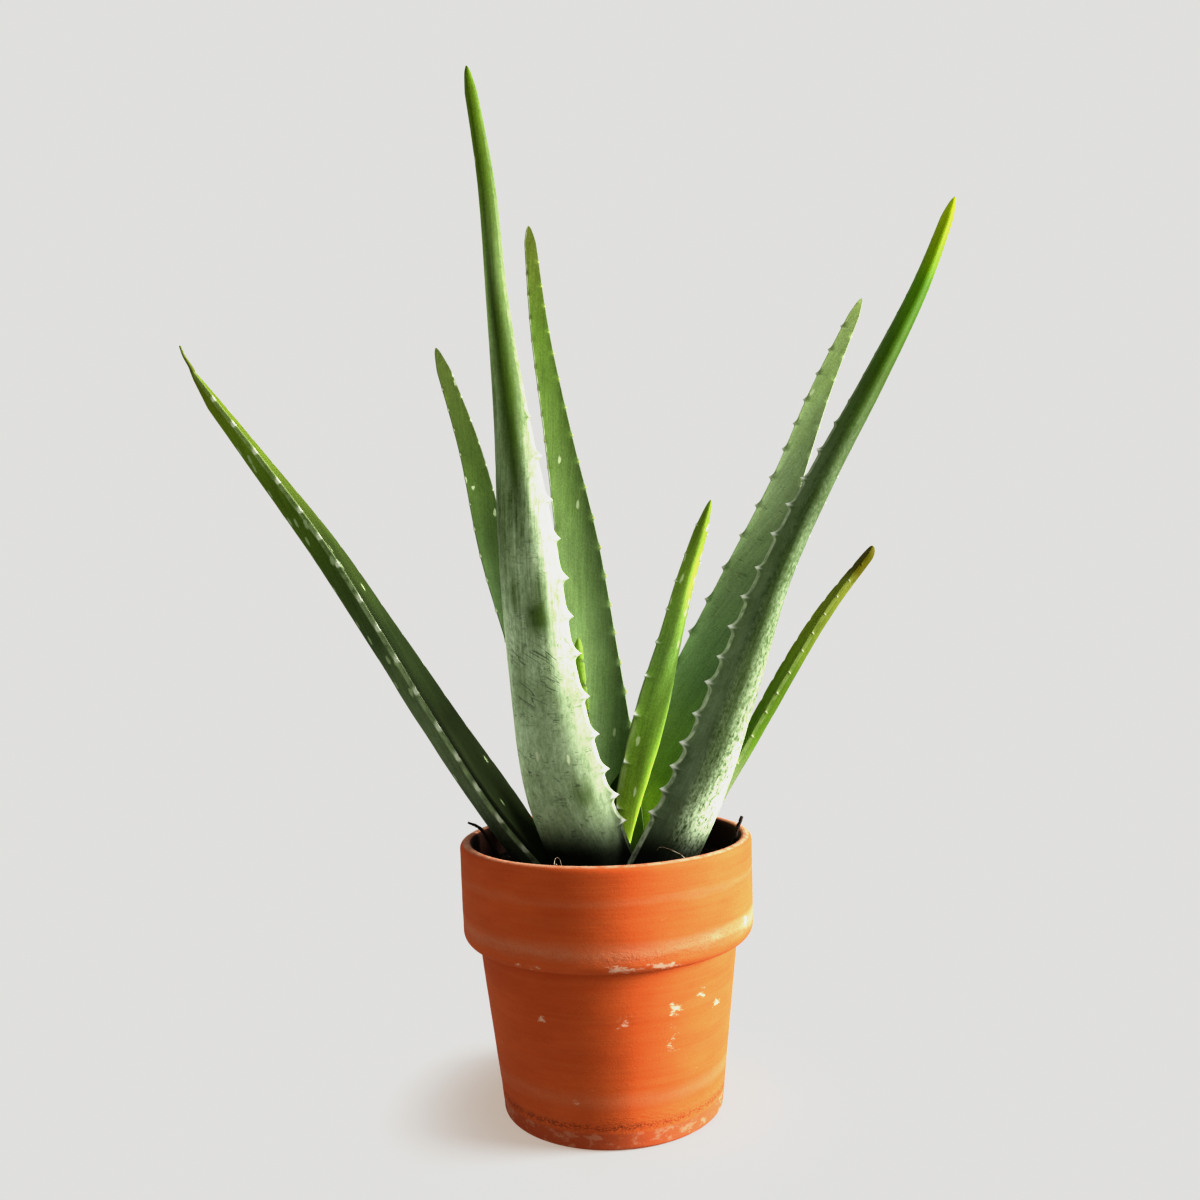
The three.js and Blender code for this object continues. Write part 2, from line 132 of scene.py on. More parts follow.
LEAVES = dict(
    leaf_bud=dict(
        spine=[[-4, 0, 96], [-6, 0, 132], [-8, 1, 168], [-9.5, 2, 205]],
        width=[9, 10, 8, 3], thickness=[4, 4.5, 4, 2], cup=[1.5, 0.8, 0.4, 0],
        facing=[-150, -140], pitch=[13, 10], tooth=[1.2, 0.8], first=0.16, seed=1,
    ),
    leaf_young=dict(
        spine=[[-9, -2, 94], [1, -4, 128], [15.9, -5, 162], [28.6, -6, 196.5], [39.6, -6, 230.5],
               [51.9, -5, 265]],
        width=[28, 28, 19.6, 11, 8, 4.5], thickness=[8, 9, 8, 6.5, 5, 2.5], cup=[5, 4, 2, 1, 0.4, 0],
        facing=[22, 10, -22, -56, -74, -80], pitch=[16.6, 19.8, 16.6, 13.5, 11.4],
        tooth=[2, 2.4, 2.2, 0.9, 0.7], first=0.12, seed=259,
    ),
    leaf_back_mid=dict(
        spine=[[3.5, 10, 92], [1, 19, 145.5], [-3.5, 28, 199], [-9.5, 36, 252.5], [-17.5, 42, 306],
               [-25, 47, 359], [-29.2, 50, 413]],
        width=[32, 28, 23.5, 20, 13.5, 9, 5], thickness=[9, 9, 8.5, 7.5, 6, 4.5, 2.5],
        cup=[6, 3.5, 2, 1.2, 0.6, 0.2, 0], facing=[92, 95, 102, 106],
        pitch=[13.5, 15.1, 15.6, 14.6, 12.5, 10.4], tooth=[1.6, 1.8, 1.5, 1.2, 0.9],
        first=0.12, seed=398,
    ),
    leaf_back_right=dict(
        spine=[[3, 12, 92], [27, 22, 138.5], [50, 30, 185], [73, 37, 231.5], [94.8, 43, 278],
               [115, 48, 325], [138, 52, 371.5]],
        width=[41.5, 36.5, 30.7, 23.5, 14.5, 9.5, 4], thickness=[9, 9.5, 9, 7.5, 6, 4.5, 2.5],
        cup=[6, 3.5, 2, 1.2, 0.6, 0.2, 0], facing=[66, 70, 80, 90],
        pitch=[15.6, 17.7, 17.7, 15.6, 13.5, 11.4], tooth=[2, 2.4, 2, 1.4, 0.9],
        first=0.13, seed=224,
    ),
    leaf_back_left=dict(
        spine=[[-10, 14, 92], [-20, 24, 144], [-35, 31, 196], [-49.8, 38, 248], [-61.3, 44, 300],
               [-77.3, 48, 352]],
        width=[22, 18.5, 15.3, 14.7, 10.8, 5.3], thickness=[8, 8, 7, 6, 4, 2],
        cup=[5, 2.5, 1.5, 0.8, 0.3, 0], facing=[104, 106, 108],
        pitch=[15, 15, 13, 11], tooth=[1.6, 1.6, 1.2, 0.9], first=0.12, seed=5,
    ),
    leaf_far_right=dict(
        spine=[[29, 11, 94], [46, 18, 124], [67, 24, 154.5], [87, 30, 184.5], [108.5, 34, 215],
               [135, 38, 245]],
        width=[20, 17.5, 12.5, 15, 12.5, 7.5], thickness=[5, 5, 5, 5, 4.5, 3],
        cup=[2, 1, 0.5, 0.3, 0.1, 0], facing=[14, 10, 6],
        pitch=[13, 13, 11, 10], tooth=[1.2, 1.3, 1, 0.8], first=0.12, seed=6,
    ),
    leaf_left=dict(
        spine=[[-15.4, -2, 92], [-43.1, -5, 131.5], [-68.3, -8, 171], [-91.8, -12, 210.5],
               [-116, -15, 250], [-144.3, -18, 289], [-174.5, -20, 328.5]],
        width=[31.7, 30.8, 28.7, 24.9, 19.5, 12.1, 3.5], thickness=[9.2, 8.8, 8.9, 8.9, 8.9, 6.8, 3.2],
        cup=[2, 1.5, 1.2, 0.8, 0.4, 0.2, 0], facing=[184, 172, 174, 177, 179, 181, 180],
        pitch=[15, 17, 17, 16, 14, 12], tooth=[1.6, 1.7, 1.5, 1.2, 0.8], first=0.12, seed=7,
        dried=[[-173, -20, 326.5], [-176.5, -20, 333], [-178.5, -20, 338]],
    ),
    leaf_tall=dict(
        spine=[[0.5, -12, 92], [-16, -24, 143], [-24, -31, 194], [-28.5, -35, 244.5],
               [-33, -37, 295.5], [-37.5, -38, 346.5], [-41, -38, 397.5], [-48.3, -36, 448.5]],
        width=[35.5, 36, 29.5, 25.5, 15.5, 9, 7, 4.5], thickness=[9, 10.5, 10, 9, 7.5, 6, 4.5, 2.5],
        cup=[6, 3.5, 2, 1.2, 0.8, 0.5, 0.2, 0], facing=[-108, -112, -116, -120],
        pitch=[8.3, 14, 18.2, 17.7, 16.6, 14.6, 12.5, 10.4], tooth=[2.4, 2.8, 2.6, 1.8, 1.2, 0.9],
        first=0.1, seed=365,
    ),
    leaf_front_right=dict(
        spine=[[13, -22, 92], [38, -20, 137.5], [58.3, -14, 183], [78.2, -6, 229],
               [103.2, 2, 274.5], [131, 11, 320], [157, 19, 365.5], [178.3, 27, 411.5]],
        width=[27.5, 25.1, 20.7, 14.8, 12.5, 10.5, 8, 5], thickness=[9, 10, 9.5, 8.5, 7.5, 6, 4.5, 2.5],
        cup=[6, 3.5, 2, 1.2, 0.8, 0.5, 0.2, 0], facing=[-60, -66, -76, -84, -88],
        pitch=[10.6, 12.5, 14.4, 15.4, 14.4, 12.5, 10.6, 9.6], tooth=[2.2, 2.6, 2.4, 1.7, 1.2, 0.9],
        first=0.09, seed=257,
    ),
)

# How each leaf looks. Lists run from its foot to its tip: the colours of its back and inner face,
# and pairs for the two faces (powder, spots, scratches) or the two margins (lines).
# Patches add to the powder, its wax bloom, or rub it off, and shades are painted light and shade,
# lightening or darkening the skin where light or shade falls on it: place along and across, length,
# reach, amount. Across, +1 is the margin on the left from the back.
# Horns scale a margin's teeth, and lean them towards the inner face by an angle. Dashes are pale
# marks at the teeth: length, width, fall-off. Places along the leaf say where teeth fade out
# (toothless), streaks start (smooth_below), cuts run across (scored) and the tip dries (dry, with
# its colour). Calm says where across it the bloom loses its grain, tip is the length of a pointed
# tip in millimetres, and a share says how dark the skin is made at the soil: partly damp skin,
# partly painted shade of the pot's rim and the leaves beside it.
LOOKS = dict(
    leaf_bud=dict(
        outer=[(0.2, 0.36, 0.02), (0.26, 0.42, 0.05)],
        inner=[(0.2, 0.36, 0.02), (0.26, 0.42, 0.05)],
        edge=(0.4, 0.5, 0.2), tooth=(0.6, 0.66, 0.4), lines=([0.4, 0.4], [0.4, 0.4]),
        horns={1: (0.8, 0), -1: (0.8, 0)},
    ),
    leaf_young=dict(
        # Its back is made much brighter near the foot: a painted glow of light through the young leaf
        outer=[(0.36, 0.54, 0.06), (0.39, 0.59, 0.065), (0.36, 0.59, 0.09), (0.3, 0.49, 0.115),
               (0.26, 0.4, 0.06), (0.155, 0.23, 0.017)],
        inner=[(0.028, 0.06, 0.006), (0.03, 0.06, 0.006), (0.05, 0.1, 0.012), (0.12, 0.2, 0.03)],
        spots=([0, 0.02, 0.05, 0.12, 0.3, 0.2], [0, 0]), spot=(0.6, 0.72, 0.4),
        edge=(0.45, 0.55, 0.25), tooth=(0.8, 0.83, 0.7), line_width=0.16,
        lines=([0.5, 0.5, 0.5, 0.2, 0.1, 0], [0.5, 0.5, 0.4, 0.2, 0.1, 0]),
        horns={1: (1.1, 0), -1: (0.7, 0)}, tip=15,
        painted_shading=[(0.3, 0.75, 90, 0.35, -0.3), (0.5, 0.85, 60, 0.3, -0.2)],
    ),
    leaf_back_mid=dict(
        outer=FAR_BACK,
        # The inner face is made dark at the foot: painted shade between the leaves in front of it
        inner=[(0.02, 0.034, 0.009), (0.095, 0.155, 0.052), (0.17, 0.255, 0.093), (0.12, 0.185, 0.057),
               (0.09, 0.145, 0.03), (0.08, 0.132, 0.018), (0.092, 0.112, 0.02)],
        powder=([0.1, 0.15, 0.12, 0.1, 0.02, 0], [0.05, 0.1, 0.07, 0.04, 0.02, 0]),
        spots=([0.02, 0.02], [0.02, 0.03, 0.03, 0.02]), painted_shading=[(0.45, 0.9, 120, 0.4, -0.2)],
        edge=(0.5, 0.55, 0.4), tooth=(0.36, 0.34, 0.14), line_width=0.3,
        lines=([0.05, 0.05, 0.05], [0.2, 0.5, 0.8, 0.8, 0.4]),
        horns={1: (0.85, 15), -1: (0.7, 65)}, tip=9,
    ),
    leaf_back_right=dict(
        outer=FAR_BACK,
        # The first colour of the inner face is a painted glow of light through the leaf at its foot
        inner=[(0.75, 0.95, 0.12), (0.145, 0.23, 0.045), (0.135, 0.225, 0.085), (0.125, 0.185, 0.075),
               (0.185, 0.255, 0.11), (0.2, 0.285, 0.09), (0.21, 0.28, 0.075)],
        powder=([0, 0.05, 0.1, 0.2, 0.2, 0.1, 0.05], [0, 0.03, 0.05, 0.1, 0.18, 0.18, 0.1]),
        spots=([0.02, 0.02], [0.0, 0.01, 0.02, 0.02]),
        edge=(0.4, 0.46, 0.3), tooth=(0.55, 0.58, 0.42), line_width=0.2,
        lines=([0.2, 0.3, 0.4, 0.6, 0.7, 0.5, 0.2], [0.3, 0.4, 0.4, 0.4, 0.3, 0.1]),
        horns={1: (0.6, 50), -1: (1, 0)}, tip=10, scratches=([0, 0], [0, 0, 0.1, 0.7, 0.6, 0.1, 0]),
        painted_shading=[(0.33, 0.85, 70, 0.3, -0.35), (0.5, -0.95, 100, 0.2, 0.3)],
    ),
    leaf_back_left=dict(
        outer=FAR_BACK,
        inner=[(0.065, 0.085, 0.04), (0.058, 0.086, 0.034), (0.06, 0.1, 0.034), (0.072, 0.114, 0.028),
               (0.075, 0.1, 0.025)],
        powder=([0.1, 0.05, 0], [0.1, 0.06, 0.04, 0, 0]),
        spots=([0.02, 0.02], [0.02, 0.06, 0.12, 0.08]),
        edge=(0.24, 0.29, 0.16), tooth=(0.56, 0.6, 0.45), line_width=0.3, dashes=(1.4, 0.5, 1),
        lines=([0.2, 0.3, 0.6, 0.8, 0.7, 0.2], [0.1, 0.15, 0.1]),
        horns={1: (0.8, 60), -1: (0.3, 0)}, tip=12,
    ),
    leaf_far_right=dict(
        outer=[(0.17, 0.18, 0.115), (0.175, 0.2, 0.12), (0.07, 0.125, 0.014), (0.06, 0.1, 0.01),
               (0.12, 0.145, 0.022), (0.12, 0.12, 0.02)],
        inner=[(0.11, 0.2, 0.01), (0.1, 0.22, 0.004), (0.135, 0.245, 0.007), (0.17, 0.22, 0.012),
               (0.16, 0.17, 0.008)],
        spots=([0, 0.01], [0, 0.01]), edge=(0.22, 0.28, 0.12), tooth=(0.3, 0.32, 0.2),
        line_width=0.25, lines=([0.5, 0.5, 0.4, 0.1], [0.5, 0.5, 0.4, 0.1]), shine=0.02,
        horns={1: (0.35, 0), -1: (0.35, 0)}, dry=(0.84, (0.08, 0.074, 0.004)),
    ),
    leaf_left=dict(
        outer=[(0.035, 0.05, 0.022), (0.037, 0.05, 0.023), (0.092, 0.124, 0.05), (0.055, 0.085, 0.025),
               (0.075, 0.12, 0.02), (0.13, 0.2, 0.022), (0.14, 0.18, 0.012)],
        # The inner face is made very dark up to its middle: painted shade cast by the leaves on its right
        inner=[(0.035, 0.055, 0.014), (0.03, 0.04, 0.016), (0.014, 0.02, 0.007), (0.018, 0.028, 0.009),
               (0.033, 0.05, 0.011), (0.08, 0.115, 0.014), (0.1, 0.14, 0.007)],
        powder=([0.05, 0.12, 0.12, 0.05, 0, 0, 0], [0, 0]),
        spots=([0.06, 0.1, 0.15, 0.3, 0.5, 0.4, 0.1], [0, 0.01, 0.02, 0.05, 0.06, 0.02]),
        spot=(0.3, 0.38, 0.2), edge=(0.3, 0.38, 0.2), tooth=(0.54, 0.6, 0.44), line_width=0.12,
        lines=([0.1, 0.1, 0.15, 0.2, 0.1, 0], [0.5, 0.7, 0.7, 0.7, 0.7, 0.5, 0.3]), shine=0.02,
        horns={1: (0.08, 0), -1: (0.1, 0)}, dashes=(1.7, 0.08, 0.7), tip=18, damp_and_shade=0.6,
        dry=(0.985, (0.1, 0.12, 0.02)),
    ),
    leaf_tall=dict(
        outer=[(0.08, 0.125, 0.035), (0.085, 0.13, 0.038), (0.08, 0.125, 0.035), (0.06, 0.095, 0.022),
               (0.042, 0.07, 0.012), (0.05, 0.085, 0.01), (0.055, 0.095, 0.004), (0.07, 0.115, 0.005)],
        inner=FAR_INNER,
        powder=([0.45, 0.55, 0.55, 0.45, 0.2, 0.1, 0.02, 0], [0.1, 0.1, 0]),
        patches=[(0.27, 0.8, 60, 0.35, 0.2), (0.19, 0.9, 40, 0.3, 0.15), (0.45, 0.6, 28, 0.5, -0.25),
                 (0.345, 0.6, 14, 0.4, 0.2), (0.6, 1, 70, 0.35, 0.15), (0.43, -0.95, 45, 0.35, 0.35),
                 (0.71, 0.95, 28, 0.3, 0.4), (0.346, -0.45, 7, 0.3, -0.75),
                 (0.382, -0.62, 7.5, 0.22, -0.45), (0.369, 0.31, 9, 0.2, -0.4),
                 (0.268, 0.43, 8, 0.22, -0.25), (0.262, -0.2, 7, 0.4, -0.2), (0.139, -0.65, 6, 0.13, -0.7),
                 (0.52, -0.3, 26, 0.35, -0.27), (0.62, -0.5, 30, 0.4, -0.3)],
        painted_shading=[(0.8, 0.25, 120, 0.45, 1.1), (0.71, 0.5, 35, 0.4, 0.9), (0.74, -0.5, 60, 0.3, -0.25),
                (0.33, 0.92, 22, 0.22, 0.6), (0.19, 0.85, 28, 0.3, 0.45), (0.715, -0.3, 30, 0.35, -0.55),
                (0.9, -0.1, 40, 1, -0.3), (0.2, -0.85, 45, 0.35, -0.3), (0.13, -0.95, 26, 0.4, -0.2),
                (0.09, -0.75, 9, 0.5, -0.3)],
        spots=([0, 0.01, 0.01, 0.02, 0.03, 0.04, 0.03, 0.02], [0, 0]), spot=(0.5, 0.56, 0.36),
        edge=(0.5, 0.56, 0.4), tooth=(0.78, 0.8, 0.7), line_width=0.18, smooth_below=0.3,
        lines=([0.1, 0.1, 0.1, 0], [0.8, 0.8, 0.7, 0.4, 0.2, 0.1, 0]),
        horns={1: (0.5, 25), -1: (1.25, 0)}, toothless=(0.5, 0.64), tip=12, damp_and_shade=0.05,
        scratches=([0, 1, 0.6, 0.3, 0.1, 0, 0], [0, 0]), scored=(0.285, 0.05),
    ),
    leaf_front_right=dict(
        outer=[(0.035, 0.055, 0.014), (0.045, 0.07, 0.018), (0.05, 0.08, 0.02), (0.045, 0.075, 0.018),
               (0.045, 0.078, 0.016), (0.042, 0.08, 0.006), (0.07, 0.16, 0.002), (0.3, 0.38, 0.002)],
        inner=FAR_INNER,
        powder=([0.2, 0.2, 0.17, 0.13, 0.1, 0.02, 0, 0], [0.1, 0.1, 0]),
        # The last three patches, on its lower right, are painted highlight where light falls on the leaf, over
        # its wax bloom
        patches=[(0.24, 0.9, 130, 0.3, 0.09), (0.27, 0.32, 120, 0.26, -0.13), (0.28, -0.6, 70, 0.5, 0.14),
                 (0.115, 0.2, 14, 0.5, 0.42), (0.13, -0.5, 35, 0.5, 0.45)],
        painted_shading=[(0.8, 0.6, 110, 0.45, 0.35), (0.85, -0.8, 110, 0.4, -0.25), (0.12, 0.95, 28, 0.3, -0.35),
                (0.55, -0.3, 35, 0.8, -0.2), (0.3, 0.3, 120, 0.22, -0.3)],
        spots=([0, 0.01, 0.02, 0.02, 0.03, 0.03, 0], [0, 0]), spot=(0.5, 0.56, 0.36),
        edge=(0.5, 0.56, 0.4), tooth=(0.78, 0.81, 0.7), line_width=0.24,
        lines=([0.9, 0.9, 0.9, 0.7, 0.3, 0.1, 0], [0.2, 0.2, 0.2, 0.1, 0]),
        horns={1: (1.35, 0), -1: (0.5, 0)}, toothless=(0.58, 0.7), tip=12, damp_and_shade=0.08,
        mottle=3.2, calm=(0.5, 0.72),
    ),
)


# Numbers and noise

def along(values, t):
    """The smooth curve through evenly spaced numbers or points, at t from 0 to 1."""
    v = np.asarray(values, float)
    t = np.clip(np.asarray(t, float), 0, 1)
    place = (len(v) - 1) * t
    i = np.minimum(np.floor(place).astype(int), len(v) - 2)
    w = place - i
    if v.ndim > 1:
        w = w[..., None]
    v = np.concatenate([[2 * v[0] - v[1]], v, [2 * v[-1] - v[-2]]])
    before, here, there, after = v[i], v[i + 1], v[i + 2], v[i + 3]
    slope0, slope1, rise = (there - before) / 2, (after - here) / 2, there - here
    return here + slope0 * w + (3 * rise - 2 * slope0 - slope1) * w**2 + (slope0 + slope1 - 2 * rise) * w**3


def ramp(values, t):
    """Straight runs between evenly spaced numbers, at t from 0 to 1."""
    return np.interp(t, np.linspace(0, 1, len(values)), values)


def soft_patches(patches, x, y):
    """The sum of soft round patches, each at (x, y) with a reach both ways and an amount."""
    total = 0.0
    for at_x, at_y, reach_x, reach_y, amount in patches:
        total = total + amount * np.exp(-(((x - at_x) / reach_x) ** 2) - ((y - at_y) / reach_y) ** 2)
    return total


def unit(vectors):
    return vectors / np.linalg.norm(vectors, axis=-1, keepdims=True)


def polar(turn, far):
    """The point this far out, at this share of a full turn."""
    return far * math.cos(2 * math.pi * turn), far * math.sin(2 * math.pi * turn)


def draw(seed, index):
    """The same number from 0 to 1 each time."""
    x = math.sin(seed * 127.1 + index * 311.7) * 43758.5453
    return x - math.floor(x)


def uneven(drawn):
    """A factor near 1."""
    return 1 + TOOTH_JITTER * (2 * drawn - 1)


def smooth(low, high, x):
    """0 below low and 1 above high, smooth between."""
    w = np.clip((np.asarray(x, float) - low) / (high - low), 0, 1)
    return w * w * (3 - 2 * w)


def grain(points, size, seed):
    """Smooth noise from -1 to 1 at points, with bumps about size across."""
    p = np.asarray(points, float) / size + 17.3 * seed
    cell = np.floor(p)
    w = p - cell
    w = w * w * (3 - 2 * w)
    total = 0
    for corner in range(8):
        offset = np.array([(corner >> k) & 1 for k in range(3)], float)
        mixed = np.sin((cell + offset) @ np.array([127.1, 311.7, 74.7]) + seed * 13.7) * 43758.5453
        share = np.prod(np.where(offset > 0, w, 1 - w), axis=-1)
        total = total + share * (mixed - np.floor(mixed))
    return 2 * total - 1


# Meshes

def add_object(name, data):
    made = bpy.data.objects.new(name, data)
    bpy.context.scene.collection.objects.link(made)
    return made


def make_mesh(name, points, faces, finish, values=None, smooth_shade=True):
    """A mesh object from millimetre points, with named numbers or vectors on its points."""
    mesh = bpy.data.meshes.new(name)
    mesh.from_pydata((np.asarray(points) * MM).tolist(), [], faces)
    for key, held in (values or {}).items():
        held = np.asarray(held, float)
        kind = "FLOAT" if held.ndim == 1 else "FLOAT_VECTOR"
        layer = mesh.attributes.new(key, kind, "POINT")
        layer.data.foreach_set("value" if held.ndim == 1 else "vector", held.ravel())
    mesh.polygons.foreach_set("use_smooth", [smooth_shade] * len(mesh.polygons))
    mesh.materials.append(finish)
    mesh.update()
    return add_object(name, mesh)


def turns(count):
    return np.linspace(0, 2 * math.pi, count, endpoint=False)


def ring_points(r, angle, z):
    """Points round the upright axis."""
    return np.stack(np.broadcast_arrays(r * np.cos(angle), r * np.sin(angle), z), -1)


def ring_faces(rings, size):
    """Quads over rings of points, each ring counter-clockwise seen from the far end."""
    i = np.arange(rings - 1)[:, None] * size
    j = np.arange(size)[None, :]
    a, b = i + j, i + (j + 1) % size
    return np.stack([a, b, b + size, a + size], -1).reshape(-1, 4).tolist()


def closed_faces(rings, size):
    """Those quads, and fans that close both ends on two points more."""
    more, last = rings * size, (rings - 1) * size
    pairs = [(j, (j + 1) % size) for j in range(size)]
    return (ring_faces(rings, size) + [(more, b, a) for a, b in pairs]
            + [(more + 1, last + a, last + b) for a, b in pairs])


# Finishes

class Tree:
    """Short names for the nodes of a node tree."""

    def __init__(self, tree):
        self.nodes, self.links = tree.nodes, tree.links

    def feed(self, socket, value):
        if isinstance(value, bpy.types.NodeSocket):
            self.links.new(value, socket)
        elif isinstance(value, tuple) and len(value) < len(socket.default_value):
            socket.default_value = (*value, 1)
        else:
            socket.default_value = value

    def node(self, kind, inputs, out=0, **settings):
        node = self.nodes.new("ShaderNode" + kind)
        for key, value in settings.items():
            setattr(node, key, value)
        for key, value in inputs.items():
            self.feed(node.inputs[key], value)
        return node.outputs[out]

    def remap(self, value, low, high, to_low=0.0, to_high=1.0, kind="SMOOTHSTEP"):
        inputs = {"Value": value, "From Min": low, "From Max": high, "To Min": to_low, "To Max": to_high}
        return self.node("MapRange", inputs, interpolation_type=kind)

    def swing(self, noise, low, high):
        """Noise, most of which is between 0.3 and 0.7, spread out from low to high."""
        return self.remap(noise, 0.3, 0.7, low, high, "LINEAR")

    def math(self, operation, a, b=0.0, clamp=False):
        return self.node("Math", {0: a, 1: b}, operation=operation, use_clamp=clamp)

    def times(self, *values):
        result = values[0]
        for value in values[1:]:
            result = self.math("MULTIPLY", result, value)
        return result

    def apart(self, value, middle):
        return self.math("ABSOLUTE", self.math("SUBTRACT", value, middle))

    def scaled(self, colour, factor):
        return self.node("VectorMath", {0: colour, 3: factor}, operation="SCALE")

    def mix(self, share, a, b):
        return self.node("Mix", {0: share, 6: a, 7: b}, 2, data_type="RGBA", blend_type="MIX")


class Finish(Tree):
    """One material, and the nodes that make it."""

    def __init__(self, name, shine):
        self.material = bpy.data.materials.new(name)
        self.material.use_nodes = True
        super().__init__(self.material.node_tree)
        self.shader = self.nodes["Principled BSDF"]
        self.shader.inputs["Specular IOR Level"].default_value = shine

    def attribute(self, name, out="Fac"):
        return self.node("Attribute", {}, out, attribute_name=name)

    def place(self):
        """The point on the object, in millimetres."""
        own = self.node("TexCoord", {}, "Object")
        return self.node("Mapping", {"Vector": own, "Scale": (1000, 1000, 1000)})

    def stretch(self, vector, size, turn=0.0, shift=(0, 0, 0)):
        """Coordinates in which a bump of this size in millimetres is one across."""
        scale = tuple(1 / s for s in (size if isinstance(size, tuple) else (size,) * 3))
        turned = self.node("Mapping", {"Vector": vector, "Rotation": (0, 0, turn)}) if turn else vector
        return self.node("Mapping", {"Vector": turned, "Scale": scale, "Location": shift})

    def noise(self, vector, size, detail=2.0, rough=0.5, distort=0.0, **moved):
        inputs = {"Vector": self.stretch(vector, size, **moved), "Scale": 1.0, "Detail": detail,
                  "Roughness": rough, "Distortion": distort}
        return self.node("TexNoise", inputs)

    def run_of(self, value, colours):
        """A run through evenly spaced colours, as value goes from 0 to 1."""
        node = self.nodes.new("ShaderNodeValToRGB")
        self.feed(node.inputs[0], value)
        ramp = node.color_ramp
        ramp.interpolation = "EASE" if len(colours) < 3 else "LINEAR"
        for k, colour in enumerate(colours):
            place = k / (len(colours) - 1)
            stop = ramp.elements[k] if k < 2 else ramp.elements.new(place)
            stop.position = place
            stop.color = (*colour, 1)
        return node.outputs[0]

    def bump(self, height, distance, strength):
        return self.node("Bump", {"Height": height, "Distance": distance, "Strength": strength})

    def done(self, colour, roughness, normal=None):
        self.feed(self.shader.inputs["Base Color"], colour)
        self.feed(self.shader.inputs["Roughness"], roughness)
        if normal is not None:
            self.links.new(normal, self.shader.inputs["Normal"])
        return self.material


def leaf_scratches(f, look, skin, run):
    """Dark scratches along the leaf, and across it where it is scored."""
    fine = f.noise(skin, (8, 0.9, 1), 0.0, 0.5, 0.35, turn=0.16)
    where = f.noise(skin, (4.5, 5.0, 1), 1.0, shift=(3, 5, 1))
    lines = f.times(f.remap(f.apart(fine, 0.5), 0.02, 0.07, 1, 0), f.remap(where, 0.56, 0.66),
                    f.attribute("marks"))
    if "scored" in look:
        middle, reach = look["scored"]
        bent = f.noise(skin, (16, 1.7, 1), 0.0, 0.5, 0.25, turn=0.6)
        there = f.remap(f.apart(run, middle), reach * 0.6, reach, 1, 0)
        area = f.noise(skin, (9, 7, 1), 1.0, shift=(2, 1, 6))
        cuts = f.times(f.remap(f.apart(bent, 0.5), 0.012, 0.045, 1, 0), there, f.remap(area, 0.4, 0.52))
        lines = f.math("MAXIMUM", lines, cuts)
    return lines


